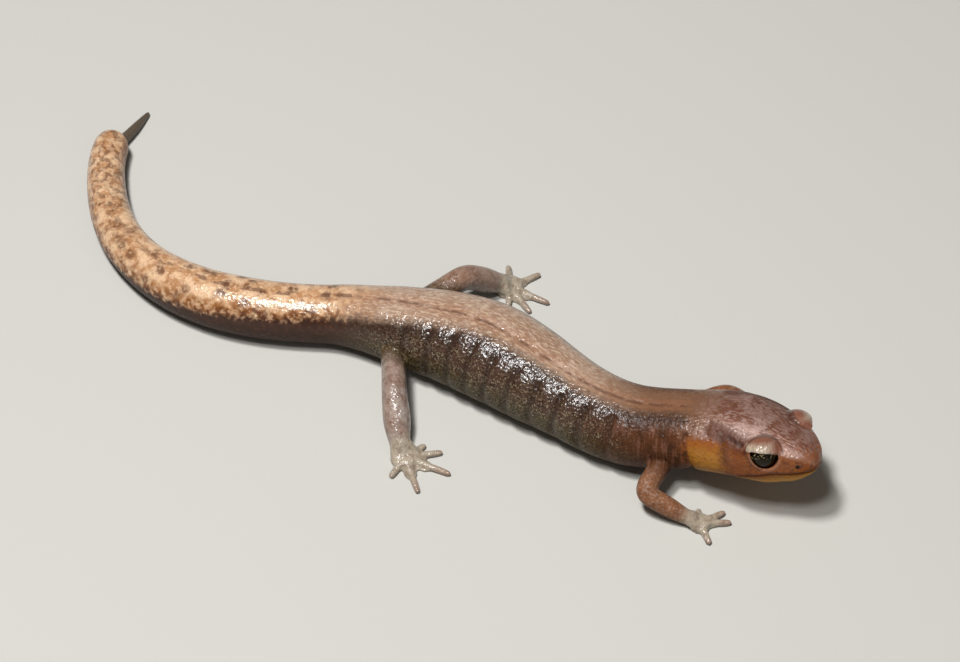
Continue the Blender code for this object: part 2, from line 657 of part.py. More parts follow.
def material_for(name):
    if name.startswith("eye"):
        return "eye"
    if name.startswith(("hand", "foot")):
        return "foot_skin"
    return NODE_MATERIAL.get(name, "limb_skin")


def centre_on_box(objects):
    """Moves every mesh so that the origin is the middle of the underside of the whole model."""
    corners = np.array([v.co for obj in objects for v in obj.data.vertices])
    low, high = corners.min(axis=0), corners.max(axis=0)
    shift = -np.array([(low[0] + high[0]) / 2, (low[1] + high[1]) / 2, low[2]])
    for obj in objects:
        obj.data.transform(translation(shift))


def main():
    for obj in list(bpy.data.objects):
        bpy.data.objects.remove(obj)
    parts = bpy.data.collections.new(NAME)
    scratch = bpy.data.collections.new("cutters")
    for collection in (parts, scratch):
        bpy.context.scene.collection.children.link(collection)
    scratch.hide_render = True
    for name, (start, end, rings, sides) in CUTS.items():
        body_length(name, start, end, rings, sides, parts)
    make_head(parts.objects["head"], parts, scratch)
    for label, limb in LIMBS.items():
        make_limb(label, limb, parts, scratch)
    centre_on_box(list(parts.objects))
    for obj in parts.objects:
        obj.data.materials.clear()
        obj.data.materials.append(material(material_for(obj.name)))
        obj.data.shade_smooth()
        obj.data.set_sharp_from_angle(angle=np.radians(SHARP_ANGLE))


main()
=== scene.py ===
"""Juarez false brook salamander in its finished skin, with its eyes, on a pale studio floor.

The skin is one closed surface over the whole animal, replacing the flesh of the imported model. Its forms are
worked out in millimetres along the same spine line as the model's, joined, and moved onto the model by the
place of its right eye.
"""

import bpy
import numpy as np
from bpy.props import FloatProperty, FloatVectorProperty, PointerProperty
from mathutils import Matrix, Vector


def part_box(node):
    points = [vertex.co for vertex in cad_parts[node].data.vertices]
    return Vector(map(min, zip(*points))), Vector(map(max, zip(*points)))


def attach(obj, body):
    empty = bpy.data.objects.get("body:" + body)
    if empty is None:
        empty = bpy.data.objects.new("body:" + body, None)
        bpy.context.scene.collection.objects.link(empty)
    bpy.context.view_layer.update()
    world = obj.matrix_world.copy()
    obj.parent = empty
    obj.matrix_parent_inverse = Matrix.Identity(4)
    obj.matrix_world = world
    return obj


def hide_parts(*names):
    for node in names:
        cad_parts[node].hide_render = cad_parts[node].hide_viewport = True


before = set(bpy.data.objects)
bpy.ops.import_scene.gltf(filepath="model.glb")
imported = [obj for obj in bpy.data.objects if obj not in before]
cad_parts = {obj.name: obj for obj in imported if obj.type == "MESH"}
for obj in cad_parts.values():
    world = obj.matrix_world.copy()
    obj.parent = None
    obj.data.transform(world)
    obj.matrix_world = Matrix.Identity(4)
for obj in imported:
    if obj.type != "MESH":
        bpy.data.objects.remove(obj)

bl_info = {
    "name": "False brook salamander",
    "version": (1, 0, 0),
    "blender": (4, 5, 0),
    "location": "View3D > Sidebar > Salamander",
    "description": "Builds the skin, the eyes and the studio of a life-size still salamander",
    "category": "Object",
}

MM = 0.001
CAMERA_AIM = (0.0035789, 0.0056792, 0.0)

# The spine line, from the snout back to the tail tip, in millimetres and degrees.
# at: distance behind the snout; heading: where the line points there, 0 along +X, positive to its left;
# height: of the axis above the floor; width: half width; rise and drop: from the axis to back and belly;
# roll: turn about the line, negative with the left side down; power: 2 is an ellipse, more is squarer.
SPINE_COLUMNS = ("at", "heading", "height", "width", "rise", "drop", "roll", "power")
SPINE = {
    "snout": (0.0, -21, 8.45, 1.95, 1.4, 1.7, -11, 2.2),
    "nostrils": (2.4, -17, 7.85, 2.75, 1.9, 2.6, -11, 2.3),
    "eyes": (4.7, -10, 7.2, 3.95, 2.45, 3.15, -11, 2.4),
    "cheeks": (7.4, -4, 6.45, 4.7, 3.05, 2.8, -9, 2.4),
    "jaw_corner": (10.2, 7, 5.8, 4.65, 3.35, 2.75, -6, 2.3),
    "gular_fold": (13.95, 14, 5.0, 4.1, 3.55, 3.15, -2, 2.2),
    "shoulders": (17.8, 15, 4.4, 4.0, 3.45, 3.8, 0, 2.2),
    "axilla": (20.8, 5, 4.15, 4.0, 3.55, 4.2, 0, 2.2),
    "fore_trunk": (25.4, -8, 4.1, 4.1, 3.5, 4.2, 0, 2.2),
    "mid_trunk": (32.4, -9, 4.2, 4.9, 4.05, 4.35, 0, 2.2),
    "widest": (36.4, -3, 4.25, 5.1, 4.3, 4.4, 0, 2.2),
    "hind_trunk": (41.4, 6, 4.15, 4.65, 4.05, 4.3, 0, 2.2),
    "groin": (46.4, 8, 3.8, 3.85, 3.6, 4.0, 0, 2.2),
    "vent": (50.4, 11, 3.35, 3.25, 3.2, 3.45, 0, 2.1),
    "tail_root": (54.9, 24, 3.0, 2.95, 2.9, 3.1, 0, 2.0),
    "tail_swell": (62.4, 14, 2.9, 3.0, 2.9, 3.0, 0, 2.0),
    "tail_turn": (68.5, -1, 2.7, 2.8, 2.8, 2.85, 0, 2.0),
    "tail_bend": (75.5, -22, 2.4, 2.4, 2.4, 2.5, 0, 2.0),
    "tail_hook": (83.5, -48, 2.1, 2.1, 2.1, 2.2, 0, 2.0),
    "tail_rear": (89.6, -62, 1.95, 1.94, 1.95, 2.05, 0, 2.0),
    "tail_stub": (92.9, -76, 1.8, 1.85, 1.8, 1.9, 0, 2.0),
    "new_tip_root": (94.6, -98, 0.85, 0.66, 0.66, 0.86, 0, 2.0),
    "new_tip_mid": (97.5, -91, 0.6, 0.47, 0.47, 0.62, 0, 2.0),
    "tip_end": (100.1, -88, 0.3, 0.22, 0.22, 0.32, 0, 2.0),
}
SNOUT_ROUNDING = 2.4
TIP_ROUNDING = 0.5
LINE_STEP = 0.05
BODY_SIDES = 96
HEAD_RINGS = dict(end=15.0, step=0.12)
BODY_RING_STEP = 0.22

# Furrows that the solids have too, in millimetres.
COSTAL_FIRST = 21.0
COSTAL_LAST = 45.4
COSTAL_SPACING = 2.62
COSTAL_HALF_WIDTH = 0.42
COSTAL_LEVELS = (-0.75, -0.1, 0.78, 0.99)
COSTAL_LOWER_ON_LEFT = 0.62
COSTAL_FADE = 1.0
BACK_FURROW = dict(start=14.0, end=58.5, fade_in=1.5, fade_out=6.0, depth=0.13, half_width=0.42)
GULAR_FOLD = dict(at=13.3, levels=(-0.1, 0.45), depth=0.3, half_width=0.4)

# Eyes and lids, in millimetres and degrees, on the eye's own directions across, up and along the gaze.
EYE_RADIUS = 1.42
EYE_AT = 4.5
EYE_OUT = 2.65
EYE_UP = 0.85
EYE_FORWARD_TURN = 38
EYE_UPWARD_TURN = 20
SOCKET_RADIUS = 1.5
LID_RADII = (1.9, 1.74, 1.84)
LOWER_LID_SHARE = 0.93
LOWER_LID_THINS = (0.3, -0.7)
LID_SLIT = dict(half_width=1.4, centre=0.12, top=0.3, tilt=-0.12, depth=1.72, points=33, reach=3.124)
BROW_SWELL = 0.25
BROW_REACH = 2.3

# Mouth and nostrils, in millimetres and degrees.
MOUTH_CORNER_AT = 9.3
MOUTH_LEVELS = ((0.0, -0.62), (2.5, -1.0), (5.0, -1.3), (7.4, -1.45), (9.3, -2.0))
MOUTH_POINTS = 61
NOSTRIL = dict(at=0.8, angle=4, radius=0.22)

# Limbs, in millimetres and degrees. root: distance behind the snout; out: of the joint from the body's
# axis; each length is followed by its heading and by the height where it ends. Toes are headings and reaches
# from the middle of the palm.
LIMBS = {
    "fore_right": dict(
        side=-1, root=15.6, out=2.2, root_height=3.8,
        upper=5.1, upper_heading=-94, knee_height=2.7,
        lower=4.9, lower_heading=6, ankle_height=1.0,
        palm=1.45, palm_heading=18, palm_half=(1.15, 0.5),
        thickness=(1.2, 1.08, 1.02, 1.0, 0.76),
        toes=((-43, 2.7), (30, 3.1), (57, 2.9), (122, 1.8)),
    ),
    "fore_left": dict(
        side=1, root=16.3, out=2.4, root_height=4.0,
        upper=6.1, upper_heading=51, knee_height=4.3,
        lower=5.0, lower_heading=24, ankle_height=1.0,
        palm=1.3, palm_heading=16, palm_half=(1.15, 0.5),
        thickness=(1.2, 1.08, 1.02, 1.0, 0.76),
        toes=((28, 2.6), (-2, 2.8), (-32, 2.4), (-88, 1.7)),
    ),
    "hind_right": dict(
        side=-1, root=46.6, out=1.6, root_height=3.6,
        upper=7.5, upper_heading=-60, knee_height=3.5,
        lower=4.8, lower_heading=-55, ankle_height=1.15,
        palm=1.5, palm_heading=-37, palm_half=(1.5, 0.55),
        thickness=(1.35, 1.22, 1.28, 1.38, 1.05),
        toes=((-92, 2.9), (-45, 4.6), (3, 5.0), (38, 3.8), (66, 2.6)),
    ),
    "hind_left": dict(
        side=1, root=46.6, out=1.6, root_height=3.6,
        upper=7.6, upper_heading=63, knee_height=4.3,
        lower=4.9, lower_heading=58, ankle_height=1.15,
        palm=1.4, palm_heading=29, palm_half=(1.5, 0.55),
        thickness=(1.35, 1.22, 1.28, 1.3, 1.05),
        toes=((120, 3.0), (58, 3.7), (0, 4.6), (-30, 4.0), (-65, 2.6)),
    ),
}
PATH_STEP = 0.1
JOINT_ROUNDING = 1.6
LIMB_SIDES = 40
LIMB_RINGS = 90
PALM_RINGS = 24
PALM_SHAPE = dict(at=(0, 0.55, 0.85, 1), wide=(1, 0.8, 0.35), high=(1, 0.85, 0.5), reach=0.85, flat_from=0.6)
PALM_SINK = 0.9
TOE_AXIS_HEIGHT = 0.3
TOE_RADII = (0.55, 0.47, 0.36, 0.34, 0.26)
TOE_PAD = 0.3
TOE_SIDES = 20
TOE_RINGS = 28
RINGS_CLOSER_TO_PAD = 1.5
WEB = dict(share=0.62, spread=34, height=0.34, centre_height=0.12, sides=120, rings=9)

# Lines and spots on the skin, as places (distance behind the snout, angle round the body): 0 degrees is the
# left side, 90 the back, 180 the right side. They are given for the right side and mirrored for the left.
GROOVE_BEHIND_EYE = ((6.0, 142), (7.0, 138), (8.2, 132), (9.4, 128), (10.3, 124))
JAW_GROOVE = ((9.2, 131), (8.6, 145), (8.3, 160), (8.1, 178), (7.9, 192))
FACE_RIDGE = ((1.0, 142), (1.8, 139), (2.6, 141), (3.2, 144))
TEMPLE = (8.6, 114)
# Half width of the pale band along the back, in degrees from the middle of the back, at distances behind the
# snout, on the right side and on the left.
BAND_EDGE_RIGHT = (
    (0, 12), (15.6, 12), (19.2, 13), (23, 13), (27.3, 10), (31.4, 11), (36, 14), (41, 20), (44, 26), (48, 37),
    (51.5, 47), (54.5, 52), (58.4, 57), (62.2, 61), (64, 66), (66, 72), (70, 80), (80, 100), (94, 120),
    (100, 120),
)
BAND_EDGE_LEFT = (
    (0, 40), (15.6, 42), (20, 45), (28, 48), (45, 50), (50, 55), (54.5, 60), (60, 66), (66, 76), (70, 82),
    (80, 100), (94, 120), (100, 120),
)

# Fine forms of the head that only the skin has, in millimetres, but for the jaw groove's share of the crease
# depth, and the lid crease's place and half width, which are shares of the lids' radii.
MOUTH_LINE_HALF_WIDTH = 0.13
LIP = dict(height=0.07, above_mouth=0.38, half_width=0.26)
EYE_GROOVE_HALF_WIDTH = 0.3
JAW_GROOVE_SHARE = 0.5
JAW_GROOVE_HALF_WIDTH = 0.45
FACE_RIDGE_SWELL = dict(height=0.15, half_width=0.42)
TEMPLE_SWELL = dict(height=0.28, half_width=2.0)
LID_CREASE = dict(depth=0.05, at=1.12, half_width=0.07)

# Where colours of the head, the hands and the feet begin and end, in millimetres. The half line of the lids'
# outline, the place and half width of the rim, and the toe ends are shares: of the outline's half width, of
# the slit and of the longest toe.
# The groove, jaw and mouth lines are painted shade at the bottoms of the creases, and maroon is painted shade
# beside the groove.
LINE_COLOURS = dict(groove=0.3, maroon=1.1, jaw=0.6, mouth=0.14)
# The nostril's dark is painted shade in its hole.
NOSTRIL_COLOUR = (0.16, 0.3)
NEAR_EYE = 2.6
# The lids' outline is painted shade in the crease round the upper lid.
LID_OUTLINE = dict(centre=0.04, half_width=1.88, half_line=0.045)
LID_RIM = dict(at=1.08, half_width=0.07, reach=2.2)
HAND = dict(reach=(5.2, 6.0), past_wrist=(-1.4, 0.6), top=2.4, toe_ends=(0.45, 0.95))

# How the mesh is made. A point's place is looked for at steps along the spine line, in millimetres, or at
# every few points of a limb's path, for so many points at a time. Smoothing moves a point by a share of the
# way to its neighbours' mean and out again, in so many steps, with more in the creases round the limbs. Then
# the faces are thinned out to a number, and kept fine on the head and the feet.
PLACE_STEP = 0.5
PLACE_CHUNK = 20000
LIMB_PLACE_EVERY = 4
SMOOTHING_IN = 0.5
SMOOTHING_OUT = 0.52
EVEN_STEPS = 6
CREASE_STEPS = 40
CREASE = dict(lift=(0.04, 0.16), spread=5, behind=10)
SKIN_FACES = 190000
FINE = dict(before=14, foot=0.2, weight=4.0)

# Studio, in metres and degrees, with the lens and its sensor in millimetres. Each softbox: way round, angle
# above the horizon, distance, size and share of the overhead light's power.
FLOOR_HALF_WIDTH = 1.5
LENS = dict(lens=150, sensor_width=36, sensor_fit="HORIZONTAL", clip_start=0.01, clip_end=10)
SOFTBOXES = {
    "overhead softbox": (-35, 75, 0.45, 0.06, 1.0),
    "front softbox": (5, 70, 0.45, 0.07, 0.42),
    "side fill": (60, 35, 0.6, 0.4, 0.12),
}

# What write_looks gives each point of the skin, for its material to read.
LOOKS = (
    "along", "down", "turn", "edge", "mid", "limb", "foot", "toes", "costal", "groove", "maroon", "lid",
    "lid_top", "outline", "rim", "lid_across", "mouth", "nostril", "jaw", "throat",
)

# The solids that the one skin takes the place of.
SKIN_NODES = (
    "head", "neck", "chest", "belly", "pelvis", "tail_base", "tail_middle", "tail_end", "tail_tip",
    "upper_arm_left", "forearm_left", "hand_left", "upper_arm_right", "forearm_right", "hand_right",
    "thigh_left", "shank_left", "foot_left", "thigh_right", "shank_right", "foot_right",
)


def linear(code):
    """Linear colour of an sRGB hex code."""
    srgb = np.array([int(code[i : i + 2], 16) for i in (1, 3, 5)]) / 255
    return tuple(float(v) for v in np.where(srgb <= 0.04045, srgb / 12.92, ((srgb + 0.055) / 1.055) ** 2.4))


def colour(name, code, description):
    return FloatVectorProperty(
        name=name, description=description, default=linear(code), size=3, min=0, max=1, subtype="COLOR"
    )


def length(name, millimetres, description):
    return FloatProperty(
        name=name, description=description, default=millimetres * MM, min=0, precision=5, unit="LENGTH"
    )


class SkinSizes(bpy.types.PropertyGroup):
    point_spacing: length("Point spacing", 0.125, "Distance between the points of the finished skin")
    costal_depth: length("Costal groove depth", 0.26, "Depth of the grooves between the ribs")
    crease_depth: length("Head crease depth", 0.1, "Depth of the grooves behind the eye and at the jaw")
    mouth_depth: length("Mouth depth", 0.2, "Depth of the line of the mouth")
    gland_height: length("Gland height", 0.075, "Height of the fine swellings of the skin")
    wrinkle_height: length("Wrinkle height", 0.02, "Height of the fine wrinkles round the neck and flanks")
    grain_height: length("Grain height", 0.05, "Height of the finest grain, that breaks up the wet shine")


class SkinColours(bpy.types.PropertyGroup):
    band: colour("Back band", "#a18a78", "Pale band along the back")
    band_warm: colour("Warm back", "#86654f", "Warmer clouds in the band")
    band_fore: colour("Fore back", "#654530", "Darker band behind the head")
    band_fleck: colour("Band flecks", "#c2aa94", "Pale flecks in the band")
    midline: colour("Midline", "#50352a", "Line along the middle of the back")
    beside: colour("Beside the midline", "#8f5636", "Thin orange-brown lines at both sides of it")
    flank: colour("Flank", "#402c22", "Side of the trunk under the band")
    # Also painted shade, in the costal grooves and in the nostrils.
    flank_mottles_and_shade: colour("Flank mottles", "#22150e", "Dark mottles of the flank")
    belly: colour("Lower flank", "#433819", "Grey-olive lower side and belly")
    speck: colour("Specks", "#93826a", "Fine grey-cream specks of the flank")
    head: colour("Head", "#754f40", "Top of the head")
    # Partly painted sheen: pinkish light the wet head reflects, laid on with the skin's own pale streaks.
    head_pale_and_sheen: colour("Head sheen", "#b69a90", "Paler pinkish clouds and streaks of the head")
    # Also painted shade: the head's left side and a wide band beside the groove behind the eye.
    head_mottles_and_shade: colour("Head mottles", "#4a2516", "Dark maroon mottles of the head")
    cheek: colour("Cheek", "#713c17", "Cheeks, lips and snout tip")
    neck: colour("Neck", "#4c2c19", "Sides of the neck")
    throat: colour("Throat", "#80471a", "Orange patch of the throat")
    throat_gold: colour("Throat gold", "#996724", "Golden middle of the patch")
    jaw: colour("Jaw edge", "#ad7a2c", "Yellow-brown edge of the lower jaw")
    # Painted shade in the grooves behind the eye and at the jaw, along the mouth and round the upper lid's
    # outline.
    crease: colour("Creases", "#2e1409", "Dark bottoms of the grooves")
    tail: colour("Tail", "#a67a55", "Tan ground of the tail")
    tail_cream: colour("Tail cream", "#d0ae8c", "Cream clouds of the tail")
    blotch: colour("Tail spots", "#583726", "Brown spots of the tail")
    rust: colour("Rust blotches", "#784619", "Rust-brown blotches lower on the tail")
    underside: colour("Tail underside", "#38231a", "Dark underside of the tail")
    new_tip: colour("New tip", "#51463b", "Regrown tip of the tail")
    arm: colour("Arms", "#7c5339", "Arms")
    leg: colour("Legs", "#90827a", "Legs")
    # Partly painted glints: pale specks on the limbs that stand in for small highlights.
    limb_pale_and_glints: colour("Limb mottles", "#b3a398", "Paler mottles of the limbs")
    foot: colour("Feet", "#988c7b", "Hands and feet")
    toe: colour("Toes", "#8c7566", "Ends of the toes")
    lid: colour("Upper lid", "#857364", "Gold-grey upper lid")
    lid_streak: colour("Lid streaks", "#c8b8a2", "Pale streaks down the upper lid")
    lid_top: colour("Lid top", "#744a3a", "Reddish-brown top and front of the upper lid")
    lid_rim: colour("Lid rim", "#87604b", "Pale rim of the lower lid")


class EyeLooks(bpy.types.PropertyGroup):
    ground: colour("Eye", "#0b0906", "Black-brown iris and pupil")
    # Partly painted reflection: the iris's olive tone with the surroundings as if reflected in the lower
    # cornea.
    olive: colour("Olive", "#1d180b", "Olive lower part of the iris")
    fleck: colour("Flecks", "#a6966c", "Gold flecks of the iris")


class Studio(bpy.types.PropertyGroup):
    floor: colour("Floor", "#b0aea8", "Matte floor")
    air: colour("Surroundings", "#e4dfd6", "Even light from all round")
    air_strength: FloatProperty(
        name="Strength of surroundings", description="Strength of the even light", default=0.11, min=0
    )
    key_power: FloatProperty(
        name="Overhead light", description="Power of the softbox above", default=2.12, min=0, unit="POWER"
    )
    azimuth: FloatProperty(
        name="Camera azimuth", description="Way round from the animal's right side", default=np.radians(28),
        subtype="ANGLE",
    )
    elevation: FloatProperty(
        name="Camera elevation", description="Angle above the horizon", default=np.radians(50),
        subtype="ANGLE",
    )
    distance: FloatProperty(
        name="Camera distance", description="Distance from the point aimed at", default=0.406, unit="LENGTH"
    )


def monotone(x, xs, ys):
    """Piecewise cubic through the stations that never passes beyond them between two of them."""
    xs = np.asarray(xs, float)
    ys = np.asarray(ys, float)
    run = np.diff(xs)
    slope = np.diff(ys) / run
    inner = np.zeros(len(xs))
    same = slope[:-1] * slope[1:] > 0
    weight_a = 2 * run[1:] + run[:-1]
    weight_b = run[1:] + 2 * run[:-1]
    with np.errstate(divide="ignore", invalid="ignore"):
        mean = (weight_a + weight_b) / (weight_a / slope[:-1] + weight_b / slope[1:])
    inner[1:-1] = np.where(same, mean, 0.0)
    inner[0], inner[-1] = slope[0], slope[-1]
    i = np.clip(np.searchsorted(xs, x, side="right") - 1, 0, len(run) - 1)
    t = (x - xs[i]) / run[i]
    rise = ys[i] * (1 + 2 * t) * (1 - t) ** 2 + ys[i + 1] * t * t * (3 - 2 * t)
    return rise + run[i] * (inner[i] * t * (1 - t) ** 2 - inner[i + 1] * t * t * (1 - t))


def unit(vectors):
    return vectors / np.maximum(np.linalg.norm(vectors, axis=-1, keepdims=True), 1e-12)


def dot(a, b):
    return np.einsum("...k,...k->...", a, b)


def smooth_rise(x, low, high):
    """Rises from 0 at low to 1 at high, level at both ends."""
    t = np.clip((x - low) / (high - low), 0, 1)
    return t * t * (3 - 2 * t)


def bell(distance, half_width):
    """1 in the middle, falling off as a Gaussian."""
    return np.exp(-((distance / half_width) ** 2))


SPINE_TABLE = dict(zip(SPINE_COLUMNS, np.array(list(SPINE.values())).T))
TIP_AT = SPINE["tip_end"][0]
LINE_AT = np.arange(0, TIP_AT + LINE_STEP, LINE_STEP)


def spine_value(column, at):
    return monotone(np.asarray(at, float), SPINE_TABLE["at"], SPINE_TABLE[column])


LINE_HEADING = np.radians(spine_value("heading", np.minimum(LINE_AT, TIP_AT)))
LINE_X = -np.concatenate([[0], np.cumsum(np.cos(LINE_HEADING[1:]))]) * LINE_STEP
LINE_Y = -np.concatenate([[0], np.cumsum(np.sin(LINE_HEADING[1:]))]) * LINE_STEP


def spine_frame(at):
    """Axis point, and the unit forward, left and up directions there, the last two rolled."""
    at = np.asarray(at, float)
    along = np.interp(at, LINE_AT, LINE_X)
    across = np.interp(at, LINE_AT, LINE_Y)
    point = np.stack([along, across, spine_value("height", at)], -1)
    heading = np.radians(spine_value("heading", at))
    climb = spine_value("height", at - LINE_STEP) - spine_value("height", at + LINE_STEP)
    forward = unit(np.stack([np.cos(heading), np.sin(heading), climb / (2 * LINE_STEP)], -1))
    left = np.stack([-np.sin(heading), np.cos(heading), np.zeros_like(heading)], -1)
    up = np.cross(forward, left)
    roll = np.radians(spine_value("roll", at))[..., None]
    return point, forward, np.cos(roll) * left + np.sin(roll) * up, np.cos(roll) * up - np.sin(roll) * left


def end_rounding(at):
    """Shrinks the rings to nothing at the snout and at the tail tip along quarter ellipses."""
    snout = np.clip(1 - at / SNOUT_ROUNDING, 0, 1)
    tip = np.clip(1 - (TIP_AT - at) / TIP_ROUNDING, 0, 1)
    return np.sqrt(np.clip(1 - snout**2, 0, 1) * np.clip(1 - tip**2, 0, 1))


def costal_groove(at, side, level):
    """How near a place is to the bottom of a groove between the ribs, from 0 to 1."""
    phase = (at - COSTAL_FIRST) / COSTAL_SPACING
    to_groove = (phase - np.round(phase)) * COSTAL_SPACING
    along = smooth_rise(at, COSTAL_FIRST - COSTAL_FADE, COSTAL_FIRST)
    along = along * (1 - smooth_rise(at, COSTAL_LAST, COSTAL_LAST + COSTAL_FADE))
    top = level + COSTAL_LOWER_ON_LEFT * (side > 0)
    flank = smooth_rise(level, *COSTAL_LEVELS[:2]) * (1 - smooth_rise(top, *COSTAL_LEVELS[2:]))
    return bell(to_groove, COSTAL_HALF_WIDTH) * along * flank


def furrow_depth(at, side, level, costal_depth):
    """Depth of the costal grooves, the furrow along the back and the fold of the throat."""
    depth = costal_depth * costal_groove(at, side, level)
    start, end = BACK_FURROW["start"], BACK_FURROW["end"]
    back = smooth_rise(at, start - BACK_FURROW["fade_in"], start) * (level > 0)
    back = back * (1 - smooth_rise(at, end - BACK_FURROW["fade_out"], end))
    width = spine_value("width", at)
    depth = depth + BACK_FURROW["depth"] * back * bell(side * width, BACK_FURROW["half_width"])
    throat = 1 - smooth_rise(level, *GULAR_FOLD["levels"])
    return depth + GULAR_FOLD["depth"] * throat * bell(at - GULAR_FOLD["at"], GULAR_FOLD["half_width"])


def body_surface(at, angle, costal_depth=0.0):
    """Superelliptic sections across the spine line: side is the cosine and level the sine of the angle, both
    raised to 2 / power, times the half width and the rise or drop there, less the furrows' depth."""
    at, angle = np.broadcast_arrays(np.asarray(at, float), np.asarray(angle, float))
    point, _, left, up = spine_frame(at)
    power = 2 / spine_value("power", at)
    side = np.sign(np.cos(angle)) * np.abs(np.cos(angle)) ** power
    level = np.sign(np.sin(angle)) * np.abs(np.sin(angle)) ** power
    shrink = end_rounding(at)
    inward = furrow_depth(at, side, level, costal_depth) * shrink
    width = spine_value("width", at) * shrink - inward
    height = np.where(level > 0, spine_value("rise", at), spine_value("drop", at)) * shrink - inward
    points = point + (side * width)[..., None] * left + (level * height)[..., None] * up
    points = points + brow_swell(points)
    points[..., 2] = np.maximum(points[..., 2], 0)
    return points


def eye_frame(side):
    """Centre of an eye, its gaze, and the directions across and up it."""
    point, forward, left, up = spine_frame(EYE_AT)
    centre = point + side * EYE_OUT * left + EYE_UP * up
    turn, tilt = np.radians([EYE_FORWARD_TURN, EYE_UPWARD_TURN])
    gaze = np.cos(tilt) * (side * np.cos(turn) * left + np.sin(turn) * forward) + np.sin(tilt) * up
    across = unit(np.cross(up, gaze))
    return centre, gaze, across, np.cross(gaze, across)


def brow_swell(points):
    """Moves skin near an eye outward along its gaze, less the farther it is, as a Gaussian."""
    moved = np.zeros_like(points)
    for side in (-1, 1):
        centre, gaze, _, _ = eye_frame(side)
        near = bell(np.linalg.norm(points - centre, axis=-1), BROW_REACH)
        moved = moved + (BROW_SWELL * near)[..., None] * gaze
    return moved


def full_turn(count):
    """Angles evenly round a circle, in radians."""
    return np.arange(count) * 2 * np.pi / count


def tube(rings):
    """Points and triangles of a closed tube through rings of points, with a fan on each end."""
    count, sides = rings.shape[:2]
    i, j = np.meshgrid(np.arange(count - 1), np.arange(sides), indexing="ij")
    k = (j + 1) % sides
    a, b, c, d = (i * sides + j, i * sides + k, (i + 1) * sides + k, (i + 1) * sides + j)
    walls = np.concatenate([np.stack([a, b, c], -1).reshape(-1, 3), np.stack([a, c, d], -1).reshape(-1, 3)])
    j = np.arange(sides)
    k = (j + 1) % sides
    first, last = np.full(sides, count * sides), np.full(sides, count * sides + 1)
    base = (count - 1) * sides
    fans = np.concatenate([np.stack([k, j, first], -1), np.stack([base + j, base + k, last], -1)])
    points = np.concatenate([rings.reshape(-1, 3), [rings[0].mean(0), rings[-1].mean(0)]])
    faces = np.concatenate([walls, fans])
    corners = points[faces]
    if dot(corners[:, 0], np.cross(corners[:, 1], corners[:, 2])).sum() < 0:
        faces = faces[:, ::-1]
    return points, faces


def floored_tube(rings):
    """Closed tube through rings of points, each raised to the floor where it would be under it."""
    rings[..., 2] = np.maximum(rings[..., 2], 0)
    return tube(rings)


def round_tube(centre, radius, side, up, sides):
    """Closed tube of round sections: the centre plus the radius times side and up, turned all the way."""
    turn = full_turn(sides)
    way = np.cos(turn)[None, :, None] * side[:, None] + np.sin(turn)[None, :, None] * up[:, None]
    return floored_tube(centre[:, None] + radius[:, None, None] * way)


def joined(tubes):
    """Points and triangles of several closed surfaces as one list."""
    starts = np.cumsum([0] + [len(points) for points, _ in tubes[:-1]])
    faces = [faces + start for (_, faces), start in zip(tubes, starts)]
    return np.concatenate([points for points, _ in tubes]), np.concatenate(faces)


def ellipsoid(centre, axes, segments=48, rings=32):
    """Closed surface: the centre plus the three axes times the places of points all over a unit sphere."""
    turn = full_turn(segments)
    tilt = np.linspace(-np.pi / 2, np.pi / 2, rings)[1:-1]
    across = np.cos(tilt)[:, None] * np.cos(turn)
    up = np.cos(tilt)[:, None] * np.sin(turn)
    out = np.repeat(np.sin(tilt)[:, None], segments, axis=1)
    grid = centre + across[..., None] * axes[0] + up[..., None] * axes[1] + out[..., None] * axes[2]
    points, faces = tube(grid)
    points[-2], points[-1] = centre - axes[2], centre + axes[2]
    return points, faces


def heading_vector(degrees):
    return np.array([np.cos(np.radians(degrees)), np.sin(np.radians(degrees)), 0.0])


def reach(start, distance, heading, height):
    """Point this far from the start, at this height, in this direction seen from above."""
    run = np.sqrt(max(distance**2 - (height - start[2]) ** 2, 0))
    end = start + run * heading_vector(heading)
    end[2] = height
    return end


def limb_joints(limb):
    """Root joint, knee or elbow, ankle or wrist and middle of the palm."""
    point, _, left, _ = spine_frame(limb["root"])
    root = point + limb["side"] * limb["out"] * left
    root[2] = limb["root_height"]
    knee = reach(root, limb["upper"], limb["upper_heading"], limb["knee_height"])
    ankle = reach(knee, limb["lower"], limb["lower_heading"], limb["ankle_height"])
    palm = reach(ankle, limb["palm"], limb["palm_heading"], limb["palm_half"][1] * PALM_SINK)
    return np.array([root, knee, ankle, palm])


def rounded_path(points):
    """Points close together along the straight lines between joints, each corner rounded by an average."""
    runs = np.linalg.norm(np.diff(points, axis=0), axis=1)
    marks = np.concatenate([[0], np.cumsum(runs)])
    s = np.arange(0, marks[-1], PATH_STEP)
    line = np.stack([np.interp(s, marks, points[:, k]) for k in range(3)], 1)
    reach_each_way = int(JOINT_ROUNDING / PATH_STEP)
    offsets = np.arange(-reach_each_way, reach_each_way + 1)
    weights = 1 - np.abs(offsets) / (reach_each_way + 1)
    padded = np.pad(line, ((reach_each_way,) * 2, (0, 0)), mode="reflect", reflect_type="odd")
    smooth = np.zeros_like(line)
    for weight, offset in zip(weights, offsets):
        first = reach_each_way + offset
        smooth += weight * padded[first : first + len(s)]
    return s, smooth / weights.sum(), marks


def path_frame(path, at):
    """Points of a limb's path and its unit forward direction there."""
    s, points, _ = path
    slope = np.gradient(points, axis=0)
    found = [np.stack([np.interp(at, s, table[:, k]) for k in range(3)], -1) for table in (points, slope)]
    return found[0], unit(found[1])


def limb_radius(limb, marks, at):
    stations = (0, marks[1] / 2, marks[1], (marks[1] + marks[2]) / 2, marks[2])
    return monotone(np.clip(at, 0, marks[2]), stations, limb["thickness"])


